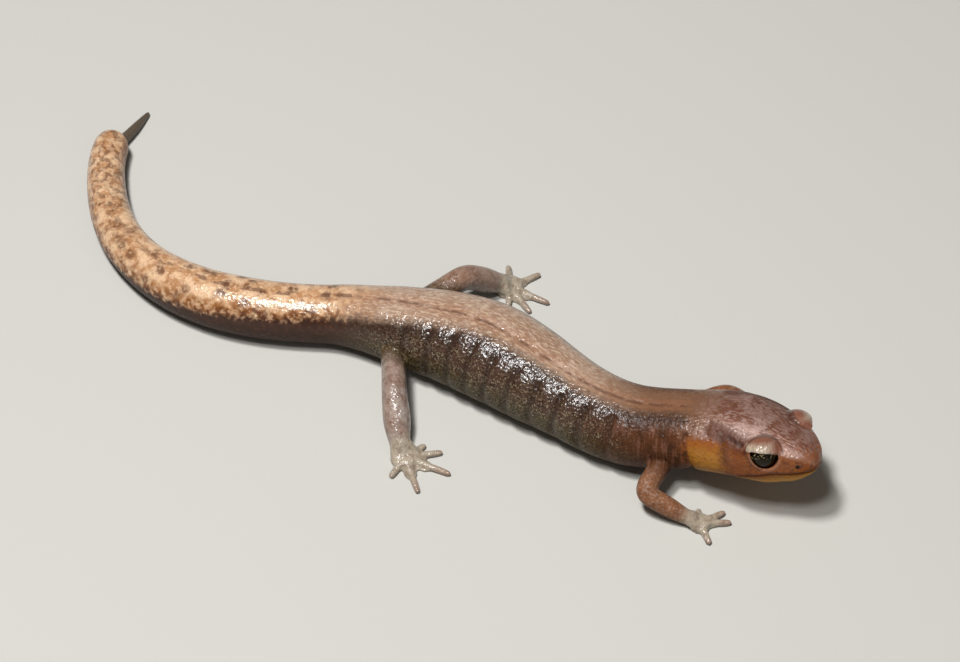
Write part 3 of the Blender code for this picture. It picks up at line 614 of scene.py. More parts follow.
def limb_tube(limb, path):
    """Round sections across the limb's path, from inside the body to the wrist or ankle."""
    marks = path[2]
    at = np.linspace(0, marks[2], LIMB_RINGS)
    centre, forward = path_frame(path, at)
    side = unit(np.cross([0, 0, 1], forward))
    return round_tube(centre, limb_radius(limb, marks, at), side, np.cross(forward, side), LIMB_SIDES)


def toe_tube(palm, heading, distance):
    """Round sections along a straight toe on the floor, narrowing, swelling to a pad and closing on it."""
    share = np.linspace(0, 1, TOE_RINGS)
    share = 1 - (1 - share) ** RINGS_CLOSER_TO_PAD
    radius = monotone(share, np.linspace(0, 1, len(TOE_RADII)), TOE_RADII)
    radius *= np.sqrt(1 - np.clip((share - 1) * distance / TOE_PAD + 1, 0, 0.97) ** 2)
    along = heading_vector(heading)
    side = np.cross([0, 0, 1], along)[None]
    centre = palm[None, :] * [1, 1, 0] + share[:, None] * distance * along
    centre[:, 2] = TOE_AXIS_HEIGHT + (palm[2] - TOE_AXIS_HEIGHT) * (1 - share) ** 3
    return round_tube(centre, radius, side, np.array([[0, 0, 1]]), TOE_SIDES)


def palm_tube(limb, joints, path):
    """Elliptic sections from the wrist to just past the palm's middle, from round to wide and flat."""
    half_width, half_height = limb["palm_half"]
    wrist_radius = limb["thickness"][-1]
    start, wrist_forward = path_frame(path, path[2][2])
    end = joints[3] + PALM_SHAPE["reach"] * half_width * heading_vector(limb["palm_heading"])
    share = np.linspace(0, 1, PALM_RINGS)
    centre = start + share[:, None] * (end - start)
    centre[:, 2] = start[2] + (joints[3][2] - start[2]) * smooth_rise(share, 0, PALM_SHAPE["flat_from"])
    wide = monotone(share, PALM_SHAPE["at"], [wrist_radius, *(half_width * np.array(PALM_SHAPE["wide"]))])
    high = monotone(share, PALM_SHAPE["at"], [wrist_radius, *(half_height * np.array(PALM_SHAPE["high"]))])
    turned = smooth_rise(share, 0, PALM_SHAPE["flat_from"])[:, None]
    along = unit((1 - turned) * wrist_forward + turned * unit(end - start))
    side = unit(np.cross([0, 0, 1], along))
    up = np.cross(along, side)
    turn = full_turn(LIMB_SIDES)
    return floored_tube(
        centre[:, None]
        + (wide[:, None] * np.cos(turn))[..., None] * side[:, None]
        + (high[:, None] * np.sin(turn))[..., None] * up[:, None]
    )


def web_tube(palm, limb):
    """Thin fan on the floor between the roots of the toes: elliptic sections across the vertical, as wide in
    each direction as the palm or as a Gaussian of the angle to the nearest toe allows."""
    turn = full_turn(WEB["sides"])
    reach_out = np.full(len(turn), limb["palm_half"][0])
    for heading, distance in limb["toes"]:
        away = np.degrees(np.abs((turn - np.radians(heading) + np.pi) % (2 * np.pi) - np.pi))
        reach_out = np.maximum(reach_out, WEB["share"] * distance * bell(away, WEB["spread"]))
    tilt = np.linspace(-np.pi / 2, np.pi / 2, WEB["rings"] + 2)[1:-1]
    out = np.cos(tilt)[:, None] * reach_out
    rings = np.stack([palm[0] + out * np.cos(turn), palm[1] + out * np.sin(turn), np.zeros_like(out)], -1)
    rings[..., 2] = np.maximum(WEB["centre_height"] + WEB["height"] * np.sin(tilt)[:, None], 0)
    return tube(rings)


def lid_dome(side):
    """Ellipsoid round the eye, drawn in a little below its middle, where the lower lid is thinner."""
    centre, gaze, across, up = eye_frame(side)
    axes = [radius * way for radius, way in zip(LID_RADII, (across, up, gaze))]
    points, faces = ellipsoid(centre, axes)
    lower = smooth_rise(dot(points - centre, up), *LOWER_LID_THINS)[:, None]
    return centre + (points - centre) * (1 - (1 - LOWER_LID_SHARE) * lower), faces


def skin_forms(costal_depth):
    """The body, lids, limbs, palms and toes as closed surfaces that overlap."""
    head = np.arange(0.01, HEAD_RINGS["end"], HEAD_RINGS["step"])
    behind = np.arange(HEAD_RINGS["end"], TIP_AT - 0.01, BODY_RING_STEP)
    at = np.concatenate([head, behind, [TIP_AT - 0.01]])
    forms = [tube(body_surface(at[:, None], full_turn(BODY_SIDES)[None, :], costal_depth))]
    forms += [lid_dome(side) for side in (-1, 1)]
    for limb in LIMBS.values():
        joints = limb_joints(limb)
        path = rounded_path(joints)
        forms += [limb_tube(limb, path), palm_tube(limb, joints, path), web_tube(joints[3], limb)]
        forms += [toe_tube(joints[3], heading, distance) for heading, distance in limb["toes"]]
    return joined(forms)


def lid_slit(side):
    """Bar along the gaze between the lids: half an ellipse below a straight, slightly tilted edge."""
    centre, gaze, across, up = eye_frame(side)
    turn = np.radians(np.linspace(180, 360, LID_SLIT["points"]))
    forward = LID_SLIT["centre"] + LID_SLIT["half_width"] * np.cos(turn)
    u = forward * -side
    v = LID_SLIT["top"] + LID_SLIT["tilt"] * forward + LID_SLIT["depth"] * np.sin(turn)
    outline = centre + u[:, None] * across + v[:, None] * up
    return tube(np.stack([outline, outline + LID_SLIT["reach"] * gaze]))


def nostril_place(side):
    return body_surface(NOSTRIL["at"], np.radians(NOSTRIL["angle"] if side > 0 else 180 - NOSTRIL["angle"]))


def openings():
    """Eye sockets, slits between the lids and nostrils, as closed surfaces."""
    forms = []
    for side in (-1, 1):
        centre, gaze, across, up = eye_frame(side)
        forms.append(ellipsoid(centre, SOCKET_RADIUS * np.array([across, up, gaze])))
        forms.append(lid_slit(side))
        forms.append(ellipsoid(nostril_place(side), NOSTRIL["radius"] * np.eye(3), 20, 14))
    return forms


def mesh_from(name, points, faces):
    mesh = bpy.data.meshes.new(name)
    mesh.vertices.add(len(points))
    mesh.vertices.foreach_set("co", np.asarray(points, np.float32).ravel())
    mesh.loops.add(faces.size)
    mesh.loops.foreach_set("vertex_index", faces.astype(np.int32).ravel())
    mesh.polygons.add(len(faces))
    mesh.polygons.foreach_set("loop_start", np.arange(0, faces.size, faces.shape[1], dtype=np.int32))
    mesh.update(calc_edges=True)
    mesh.validate()
    return mesh


def object_from(name, points, faces):
    obj = bpy.data.objects.new(name, mesh_from(name, points, faces))
    bpy.context.scene.collection.objects.link(obj)
    return obj


def apply_modifiers(obj):
    """Replaces the object's mesh by what its modifiers make of it."""
    bpy.context.view_layer.update()
    graph = bpy.context.evaluated_depsgraph_get()
    mesh = bpy.data.meshes.new_from_object(obj.evaluated_get(graph))
    obj.modifiers.clear()
    old = obj.data
    obj.data = mesh
    bpy.data.meshes.remove(old)


def remesh(obj, spacing):
    """One closed surface of even cells round everything in the mesh."""
    modifier = obj.modifiers.new("even cells", "REMESH")
    modifier.mode = "VOXEL"
    modifier.voxel_size = spacing
    apply_modifiers(obj)


def cut(obj, forms):
    """Takes the closed surfaces away from the object."""
    for points, faces in forms:
        tool = object_from("cutter", points, faces)
        modifier = obj.modifiers.new("cut", "BOOLEAN")
        modifier.operation = "DIFFERENCE"
        modifier.solver = "MANIFOLD"
        modifier.object = tool
        apply_modifiers(obj)
        bpy.data.objects.remove(tool)


def points_of(mesh):
    points = np.empty(len(mesh.vertices) * 3, np.float32)
    mesh.vertices.foreach_get("co", points)
    return points.reshape(-1, 3).astype(float)


def normals_of(mesh):
    normals = np.empty(len(mesh.vertices) * 3, np.float32)
    mesh.vertices.foreach_get("normal", normals)
    return normals.reshape(-1, 3).astype(float)


def edges_of(mesh):
    edges = np.empty(len(mesh.edges) * 2, np.int32)
    mesh.edges.foreach_get("vertices", edges)
    return edges.reshape(-1, 2)


def neighbour_mean(values, edges, count):
    """Mean of the values at the neighbours of each vertex."""
    total = np.zeros_like(values)
    for k in range(values.shape[1]):
        total[:, k] = np.bincount(edges[:, 0], values[edges[:, 1], k], count)
        total[:, k] += np.bincount(edges[:, 1], values[edges[:, 0], k], count)
    degree = np.bincount(edges.ravel(), minlength=count)
    return total / np.maximum(degree, 1)[:, None]


def relax(mesh, steps, weight=1.0, keep_volume=True):
    """Moves each vertex half way to the mean of its neighbours and, to keep the volume, as far back again."""
    points = points_of(mesh)
    edges = edges_of(mesh)
    weight = np.broadcast_to(weight, len(points))[:, None]
    for _ in range(steps):
        points = points + SMOOTHING_IN * weight * (neighbour_mean(points, edges, len(points)) - points)
        if keep_volume:
            points = points - SMOOTHING_OUT * weight * (neighbour_mean(points, edges, len(points)) - points)
    mesh.vertices.foreach_set("co", points.astype(np.float32).ravel())
    mesh.update()


def nearest_of(points, line):
    """Index of the line's point that is nearest to each point, and its distance."""
    index = np.empty(len(points), int)
    away = np.empty(len(points))
    for start in range(0, len(points), PLACE_CHUNK):
        part = slice(start, start + PLACE_CHUNK)
        squares = ((points[part, None] - line[None]) ** 2).sum(-1)
        index[part] = np.argmin(squares, axis=1)
        away[part] = np.sqrt(squares.min(1))
    return index, away


def body_place(points):
    """Distance behind the snout, side and level of each point on the body's section there, the ratio of its
    distance from the axis to the skin's, and its angle from the middle of the back, positive to the right."""
    coarse = np.arange(0, TIP_AT, PLACE_STEP)
    at = coarse[nearest_of(points, spine_frame(coarse)[0])[0]]
    for _ in range(4):
        point, forward, _, _ = spine_frame(at)
        at = np.clip(at - dot(points - point, forward), 0.002, TIP_AT - 0.002)
    point, _, left, up = spine_frame(at)
    away = points - point
    shrink = np.maximum(end_rounding(at), 0.05)
    across, height = dot(away, left), dot(away, up)
    side = across / (spine_value("width", at) * shrink)
    level = height / (np.where(height > 0, spine_value("rise", at), spine_value("drop", at)) * shrink)
    power = spine_value("power", at)
    ratio = (np.abs(side) ** power + np.abs(level) ** power) ** (1 / power)
    power = power / 2
    angle = np.arctan2(np.sign(level) * np.abs(level) ** power, np.sign(side) * np.abs(side) ** power)
    turn = (np.degrees(angle) - 90 + 180) % 360 - 180
    return dict(at=at, across=across, side=side, level=level, ratio=ratio, turn=turn, down=np.abs(turn))


def line_distance(points, line):
    """Distance of each point from a polyline, and how far along it, from 0 to 1, the nearest place is."""
    best = np.full(len(points), np.inf)
    share = np.zeros(len(points))
    for k in range(len(line) - 1):
        run = line[k + 1] - line[k]
        t = np.clip(dot(points - line[k], run) / dot(run, run), 0, 1)
        away = np.linalg.norm(points - line[k] - t[:, None] * run, axis=1)
        nearer = away < best
        best = np.where(nearer, away, best)
        share = np.where(nearer, (k + t) / (len(line) - 1), share)
    return best, share


def on_skin(places, side):
    """Points of the skin at places given for the right side, or at their mirror places."""
    at, angle = np.array(places, float).T
    angle = angle if side < 0 else 180 - angle
    fine = np.linspace(0, 1, 25)
    marks = np.linspace(0, 1, len(at))
    return body_surface(np.interp(fine, marks, at), np.radians(np.interp(fine, marks, angle)))


def mouth_height(at):
    """Height of the line of the mouth over the body's axis, in millimetres."""
    return np.interp(at, *np.array(MOUTH_LEVELS).T)


def mouth_line(side):
    """Points of the skin along the line of the mouth, from the front of the snout to the corner."""
    front_level = MOUTH_LEVELS[0][1] / SPINE_TABLE["drop"][0]
    front_at = SNOUT_ROUNDING * (1 - np.sqrt(1 - front_level**2))
    at = front_at + (MOUTH_CORNER_AT - front_at) * np.linspace(0, 1, MOUTH_POINTS) ** 2
    drop = spine_value("drop", at) * end_rounding(at)
    sine = np.clip(-mouth_height(at) / drop, 0, 1) ** (spine_value("power", at) / 2)
    angle = -np.arcsin(sine) if side > 0 else np.pi + np.arcsin(sine)
    return body_surface(at, angle)


def eye_place(points, side):
    """Distances of the points from an eye's centre across, up and along its gaze."""
    centre, gaze, across, up = eye_frame(side)
    away = points - centre
    return dot(away, across), dot(away, up), dot(away, gaze)


def head_forms(points, place, sizes):
    """How far the skin of the head moves outward: creases in, lips, temples and the face's ridge out, each a
    Gaussian of the distance from its line or place."""
    moved = np.zeros(len(points))
    head = place["at"] < 16
    near = points[head]
    out = np.zeros(len(near))
    at, level = place["at"][head], place["level"][head]
    for side in (-1, 1):
        mine = (place["across"][head] * side > -0.6).astype(float)
        away, share = line_distance(near, mouth_line(side))
        fade = 1 - smooth_rise(share, 0.93, 1.0)
        out -= sizes.mouth_depth / MM * bell(away, MOUTH_LINE_HALF_WIDTH) * fade * mine
        above = (level > mouth_height(at) / spine_value("drop", at)) * 1.0
        out += LIP["height"] * bell(away - LIP["above_mouth"], LIP["half_width"]) * fade * above * mine
        away, share = line_distance(near, on_skin(GROOVE_BEHIND_EYE, side))
        fade = smooth_rise(share, 0, 0.12) * (1 - smooth_rise(share, 0.3, 1.0))
        out -= sizes.crease_depth / MM * bell(away, EYE_GROOVE_HALF_WIDTH) * fade
        away, share = line_distance(near, on_skin(JAW_GROOVE, side))
        fade = 1 - smooth_rise(share, 0.7, 1.0)
        out -= JAW_GROOVE_SHARE * sizes.crease_depth / MM * bell(away, JAW_GROOVE_HALF_WIDTH) * fade
        away, _ = line_distance(near, on_skin(FACE_RIDGE, side))
        out += FACE_RIDGE_SWELL["height"] * bell(away, FACE_RIDGE_SWELL["half_width"])
        away = np.linalg.norm(near - on_skin((TEMPLE, TEMPLE), side)[0], axis=1)
        out += TEMPLE_SWELL["height"] * bell(away, TEMPLE_SWELL["half_width"])
        u, v, w = eye_place(near, side)
        dome = np.sqrt((u / LID_RADII[0]) ** 2 + (v / LID_RADII[1]) ** 2 + (w / LID_RADII[2]) ** 2)
        round_dome = bell(dome - LID_CREASE["at"], LID_CREASE["half_width"]) * smooth_rise(v, -1.6, 0.2)
        out -= LID_CREASE["depth"] * round_dome
    moved[head] = out
    return moved


def limb_place(points):
    """Smallest distance of each point outside any limb's tube, and how much it belongs to a hand or foot and
    to the ends of its toes."""
    outside = np.full(len(points), np.inf)
    foot = np.zeros(len(points))
    toes = np.zeros(len(points))
    for limb in LIMBS.values():
        joints = limb_joints(limb)
        s, line, marks = rounded_path(joints)
        nearest, away = nearest_of(points, line[::LIMB_PLACE_EVERY])
        outside = np.minimum(outside, away - limb_radius(limb, marks, s[::LIMB_PLACE_EVERY][nearest]))
        palm = np.linalg.norm(points[:, :2] - joints[3][:2], axis=1)
        hand = 1 - smooth_rise(palm, *HAND["reach"])
        past_wrist = dot(points - joints[2], unit(joints[3] - joints[2]))
        past_wrist = smooth_rise(past_wrist, *HAND["past_wrist"]) * (points[:, 2] < HAND["top"])
        foot = np.maximum(foot, hand * past_wrist)
        longest = max(distance for _, distance in limb["toes"])
        toes = np.maximum(toes, hand * smooth_rise(palm / longest, *HAND["toe_ends"]))
    return outside, foot, toes


def crease_weight(mesh, spacing):
    """How concave the surface is at each vertex, spread to its neighbourhood, from 0 to 1."""
    points, normals, edges = points_of(mesh), normals_of(mesh), edges_of(mesh)
    lift = dot(neighbour_mean(points, edges, len(points)) - points, normals) / spacing
    weight = smooth_rise(lift, *CREASE["lift"])[:, None]
    for _ in range(CREASE["spread"]):
        weight = np.maximum(weight, neighbour_mean(weight, edges, len(points)))
    return weight[:, 0]


def raise_look(looks, name, values):
    """Raises one of the looks to the values, where they are higher."""
    looks[name] = np.maximum(looks[name], values)


def mark_lines(looks, points, side):
    """Looks of the lines on one side of the head and of its nostril, by their distances, for painted shade in
    the grooves, along the mouth and in the nostril.
    """
    away, share = line_distance(points, on_skin(GROOVE_BEHIND_EYE, side))
    fade = 1 - smooth_rise(share, 0.4, 1.0)
    raise_look(looks, "groove", bell(away, LINE_COLOURS["groove"]) * fade)
    # Painted shade: a wide darker band along the groove behind the eye.
    raise_look(looks, "maroon", bell(away, LINE_COLOURS["maroon"]))
    away, share = line_distance(points, on_skin(JAW_GROOVE, side))
    fade = 1 - smooth_rise(share, 0.6, 1.0)
    raise_look(looks, "groove", 0.6 * bell(away, LINE_COLOURS["jaw"]) * fade)
    # Painted shade in the nostril's hole.
    away = np.linalg.norm(points - nostril_place(side), axis=1)
    raise_look(looks, "nostril", 1 - smooth_rise(away, *NOSTRIL_COLOUR))
    away, share = line_distance(points, mouth_line(side))
    fade = 1 - smooth_rise(share, 0.9, 1.0)
    raise_look(looks, "mouth", bell(away, LINE_COLOURS["mouth"]) * fade)


def mark_lids(looks, points, side):
    """Looks of the lids of one eye: the upper lid, its brown top and front, its outline, which is painted
    shade round the lid, and the lower rim.
    """
    u, v, w = eye_place(points, side)
    forward = u * -side
    from_eye = np.sqrt(u * u + v * v + w * w)
    near_eye = from_eye < NEAR_EYE
    on_dome = 1 - smooth_rise(from_eye, 1.98, 2.12)
    edge = LID_SLIT["top"] + LID_SLIT["tilt"] * forward
    upper = smooth_rise(w, 0.1, 0.5) * smooth_rise(v, edge - 0.15, edge + 0.05) * on_dome
    raise_look(looks, "lid", upper * smooth_rise(from_eye, 1.52, 1.62))
    brown = np.maximum(smooth_rise(v, 0.7, 1.45), smooth_rise(forward, 0.2, 1.4))
    brown = np.maximum(brown, smooth_rise(forward, -1.4, -1.8))
    looks["lid_top"] = np.where(near_eye, brown, looks["lid_top"])
    across = (forward - LID_OUTLINE["centre"]) / LID_OUTLINE["half_width"]
    ring = np.sqrt(across**2 + (v / LID_RADII[1]) ** 2)
    arch = bell(ring - 1.0, LID_OUTLINE["half_line"]) * smooth_rise(v, -0.4, 0.4)
    raise_look(looks, "outline", arch * near_eye)
    across = (forward - LID_SLIT["centre"]) / LID_SLIT["half_width"]
    below = np.sqrt(across**2 + ((v - edge) / LID_SLIT["depth"]) ** 2)
    margin = bell(below - LID_RIM["at"], LID_RIM["half_width"])
    margin = margin * smooth_rise(edge - v, 0.2, 0.8) * smooth_rise(w, 0.3, 0.9)
    raise_look(looks, "rim", margin * (from_eye < LID_RIM["reach"]))
    looks["lid_across"] = np.where(near_eye, forward, looks["lid_across"])


def write_looks(mesh, points):
    """Writes the attributes that the skin's material reads. All are from 0 to 1, but for distances in
    millimetres and angles in degrees."""
    place = body_place(points)
    at, down = place["at"], place["down"]
    outside, foot, toes = limb_place(points)
    radius = (spine_value("width", at) + spine_value("rise", at)) / 2
    leftward = smooth_rise(place["across"], -0.8, 0.8)
    edge_angle = leftward * np.interp(at, *np.array(BAND_EDGE_LEFT, float).T)
    edge_angle = edge_angle + (1 - leftward) * np.interp(at, *np.array(BAND_EDGE_RIGHT, float).T)
    limb = smooth_rise((place["ratio"] - 1) * radius, 0.1, 2.2) * smooth_rise(outside, 0.5, -0.1)
    looks = {name: np.zeros(len(points)) for name in LOOKS}
    looks.update(
        along=at,
        down=down,
        turn=place["turn"],
        edge=(edge_angle - down) * np.pi / 180 * radius,
        mid=np.abs(place["across"]) + 5.0 * (place["level"] < 0),
        limb=np.maximum(limb, foot),
        foot=foot,
        toes=toes,
        costal=costal_groove(at, place["side"], place["level"]),
    )
    for side in (-1, 1):
        mark_lines(looks, points, side)
        mark_lids(looks, points, side)
    mouth_level = mouth_height(at) / np.maximum(spine_value("drop", at) * end_rounding(at), 0.3)
    below_mouth = smooth_rise(mouth_level - place["level"], -0.04, 0.36) * (1 - smooth_rise(at, 8.6, 9.8))
    looks["jaw"] = below_mouth * smooth_rise(down, 60, 75)
    looks["throat"] = (1 - smooth_rise(at, 12.9, 13.4)) * (1 - smooth_rise(looks["limb"], 0.0, 0.25))
    for name, values in looks.items():
        attribute = mesh.attributes.new(name, "FLOAT", "POINT")
        attribute.data.foreach_set("value", np.asarray(values, np.float32))


def node(tree, kind, inputs=None, output=0, **settings):
    """Adds a node with its settings; an input given as a socket is linked, and any other is its value."""
    made = tree.nodes.new(kind)
    for name, value in settings.items():
        setattr(made, name, value)
    for name, value in (inputs or {}).items():
        if isinstance(value, bpy.types.NodeSocket):
            tree.links.new(value, made.inputs[name])
        else:
            made.inputs[name].default_value = value
    return made.outputs[output] if len(made.outputs) else None


def new_material(name):
    """Material with an empty tree and its output node."""
    material = bpy.data.materials.new(name)
    material.use_nodes = True
    tree = material.node_tree
    tree.nodes.clear()
    return material, tree


def opaque(values):
    return (*values, 1.0)


# Each noise of the skin: the places it follows, its features for each unit of them, and its detail. Clouds
# are of 3 mm, blotches 1.2 mm, spots 0.8 mm, mottles 0.5 mm, specks 0.25 mm and grains 0.15 mm.
NOISES = {
    "clouds": ("place", 0.33, 2),
    "blotches": ("place", 0.8, 3),
    "spots": ("place", 1.25, 1),
    "mottles": ("place", 2.0, 2),
    "specks": ("place", 4.2, 2),
    "grains": ("place", 6.5, 0),
    "streaks": ("lengthwise", 2.2, 3),
    "wrinkles": ("round_body", 1.0, 2),
    "lid_streaks": ("across_lid", 6.0, 2),
}

# Each mask: the look, noise, dots or wavy border it reads, the values of that where the mask is 0 and where
# it is full, and how strong it is there.
MASKS = {
    "in_band": ("wavy_edge", -0.95, 0.75, 1),
    "band_clouds": ("clouds", 0.38, 0.64, 0.7),
    "band_mottles": ("mottles", 0.4, 0.66, 0.65),
    "band_specks": ("specks", 0.48, 0.66, 0.35),
    "band_flecks": ("streaks", 0.45, 0.66, 0.6),
    "fore_band": ("wavy_along", 28.0, 17.0, 0.9),
    "beside": ("mid", 0.95, 0.5, 0.15),
    "midline": ("mid", 0.3, 0.05, 0.65),
    "line_on": ("blotches", 0.36, 0.52, 1),
    "low_side": ("wavy_down", 62, 92, 0.9),
    "speck_zone": ("wavy_down", 24, 60, 1),
    "speck_on": ("dots", 0.54, 0.14, 0.85),
    "fleck_on": ("specks", 0.52, 0.7, 0.35),
    "speck_clumps": ("mottles", 0.4, 0.64, 1),
    "flank_clouds": ("mottles", 0.44, 0.62, 0.7),
    # Painted shade in the costal grooves.
    "costal": ("costal", 0.15, 0.9, 0.5),
    "on_tail": ("wavy_along", 46.5, 54.5, 1),
    "smoother": ("wavy_along", 43.0, 51.0, 1),
    "fore_tail": ("wavy_along", 102.0, 64.0, 1),
    "tail_top": ("wavy_edge", -0.35, 0.45, 1),
    "tail_cream": ("blotches", 0.38, 0.62, 0.9),
    "tail_spots": ("round_spots", 0.5, 0.16, 0.85),
    "tail_rust": ("spots", 0.3, 0.56, 0.95),
    "rear": ("wavy_along", 70.0, 84.0, 1),
    "rear_mottles": ("spots", 0.46, 0.6, 0.62),
    "tail_fine": ("specks", 0.48, 0.66, 0.25),
    "tail_pale": ("mottles", 0.48, 0.64, 0.45),
    "edge_blotches": ("spots", 0.48, 0.62, 0.75),
    "low_tail": ("wavy_edge", 2.0, 0.5, 1),
    "lowest_tail": ("wavy_edge", 1.2, 0.2, 1),
    "dash": ("mid", 0.4, 0.15, 0.75),
    "dash_on": ("blotches", 0.46, 0.54, 1),
    "far_edge": ("turn", -42, -75, 0.7),
    "under_mottles": ("mottles", 0.42, 0.7, 0.4),
    "under_band": ("wavy_edge", -2.6, -0.5, 0.5),
    "head_zone": ("wavy_along", 14.6, 12.4, 1),
    "head_specks": ("specks", 0.5, 0.68, 0.35),
    # Pale clouds and streaks of the head, partly painted sheen.
    "head_clouds": ("clouds", 0.4, 0.6, 0.75),
    "head_streaks": ("streaks", 0.46, 0.62, 0.6),
    "head_mottles": ("mottles", 0.54, 0.68, 0.6),
    # Painted shade: the head darker from just right of its middle round over its left side.
    "crown": ("turn", 32, -12, 0.6),
    "nape": ("wavy_along", 9.0, 13.0, 0.85),
    # Painted shade beside the groove behind the eye.
    "maroon": ("maroon", 0.15, 0.8, 0.8),
    "neck_zone": ("wavy_along", 25.0, 17.0, 1),
    "neck_low": ("wavy_down", 16, 44, 0.95),
    "neck_streaks": ("wrinkles", 0.5, 0.64, 0.5),
    "neck_clouds": ("blotches", 0.44, 0.7, 0.5),
    "cheek_zone": ("wavy_down", 34, 66, 0.95),
    "snout_zone": ("wavy_along", 1.5, 0.3, 0.8),
    "cheek_mottles": ("specks", 0.56, 0.7, 0.35),
    "throat_side": ("wavy_down", 44, 58, 1),
    "throat_front": ("wavy_along", 7.6, 9.8, 1),
    "throat_gold": ("wavy_down", 50, 80, 0.95),
    "tip_zone": ("along", 93.4, 94.4, 1),
    # Pale specks of the limbs, partly painted glints.
    "limb_mottles": ("specks", 0.46, 0.7, 0.25),
    "limb_clouds": ("spots", 0.44, 0.64, 0.45),
    "limb_red": ("clouds", 0.46, 0.62, 0.35),
    # Painted shade along the mouth, round the upper lid's outline and in the grooves of the head.
    "mouth": ("mouth", 0.1, 0.9, 0.12),
    "outline": ("outline", 0.1, 0.9, 0.55),
    "groove": ("groove", 0, 1, 0.8),
    "hind": ("along", 30, 34, 1),
    "far_leg": ("turn", -30, -80, 0.55),
    "foot_mottles": ("mottles", 0.48, 0.66, 0.35),
    "lid_streaks": ("lid_streaks", 0.3, 0.72, 0.7),
    "neck_gloss": ("wavy_along", 26.0, 18.0, 0.85),
    "not_head": ("wavy_along", 11.0, 14.6, 1),
    "dry_groove": ("maroon", 0.2, 0.8, 0.9),
    "wet": ("down", 115, 50, 0.95),
}

# Masks that are the product of two others, or of a mask and a look.
PRODUCTS = {
    "specks_there": ("speck_on", "speck_zone"),
    "flank_specks": ("specks_there", "speck_clumps"),
    "rear_on": ("rear_mottles", "rear"),
    "rust": ("tail_rust", "low_tail"),
    "midline_there": ("midline", "line_on"),
    "spots_there": ("tail_spots", "fore_tail"),
    "rust_edge": ("edge_blotches", "lowest_tail"),
    "flank_flecks": ("fleck_on", "speck_zone"),
    "dashes_on": ("dash", "dash_on"),
    "dashes": ("dashes_on", "fore_tail"),
    "neck_dark": ("neck_zone", "neck_low"),
    "dry_neck": ("neck_gloss", "not_head"),
    "throat_there": ("throat_side", "throat_front"),
    "throat_patch": ("throat_there", "throat"),
}

# Each paint: its ground, then what is laid over it and where. A name that is no colour is a paint.
PAINTS = {
    # The dark over the costal grooves is painted shade.
    "trunk_side": (
        "flank", ("belly", "low_side"), ("flank_mottles_and_shade", "flank_clouds"), ("speck", "flank_flecks"),
        ("speck", "flank_specks"), ("flank_mottles_and_shade", "under_band"), ("flank_mottles_and_shade", "costal"),
    ),
    "back": (
        "band", ("band_warm", "band_clouds"), ("band_warm", "band_mottles"), ("band_warm", "band_specks"),
        ("band_fleck", "band_flecks"), ("band_fore", "fore_band"), ("beside", "beside"),
        ("midline", "midline_there"),
    ),
    "neck_side": ("neck", ("flank_mottles_and_shade", "neck_clouds"), ("head", "neck_streaks")),
    "tail_back": (
        "tail", ("tail_cream", "tail_cream"), ("rust", "rust"), ("rust", "far_edge"),
        ("blotch", "rust_edge"), ("blotch", "spots_there"), ("blotch", "rear_on"),
        ("tail_cream", "tail_pale"), ("blotch", "tail_fine"), ("blotch", "dashes"),
    ),
    "tail_under": ("underside", ("blotch", "under_mottles")),
    "whole_tail": ("tail_under", ("tail_back", "tail_top")),
    "trunk": ("trunk_side", ("back", "in_band"), ("neck_side", "neck_dark"), ("whole_tail", "on_tail")),
    "face": ("cheek", ("head_mottles_and_shade", "head_mottles"), ("throat_gold", "cheek_mottles")),
    # Over the head, the darker left side and the maroon band by the groove behind the eye are painted shade.
    "whole_head": (
        "head", ("head_pale_and_sheen", "head_clouds"), ("head_mottles_and_shade", "head_mottles"),
        ("head_pale_and_sheen", "head_streaks"), ("head_mottles_and_shade", "head_specks"), ("head_mottles_and_shade", "crown"),
        ("band_fore", "nape"), ("face", "cheek_zone"), ("face", "snout_zone"), ("head_mottles_and_shade", "maroon"),
    ),
    "throat_skin": ("throat", ("throat_gold", "throat_gold"), ("cheek", "head_mottles")),
    # The pale specks of the limbs are partly painted glints.
    "limbs": (
        "arm", ("leg", "hind"), ("arm", "far_leg"), ("arm", "limb_red"), ("blotch", "limb_clouds"),
        ("limb_pale_and_glints", "limb_mottles"),
    ),
    "feet": ("foot", ("toe", "toes"), ("blotch", "foot_mottles")),
    "upper_lid": ("lid", ("lid_streak", "lid_streaks"), ("lid_top", "lid_top")),
    # The crease colour over the grooves, the mouth and the lids' outline is painted shade, as is the dark of
    # the nostrils.
    "whole": (
        "trunk", ("whole_head", "head_zone"), ("throat_skin", "throat_patch"), ("jaw", "jaw"),
        ("new_tip", "tip_zone"), ("limbs", "limb"), ("feet", "foot"), ("crease", "groove"),
        ("crease", "mouth"), ("lid_rim", "rim"), ("upper_lid", "lid"), ("crease", "outline"),
        ("flank_mottles_and_shade", "nostril"),
    ),
}


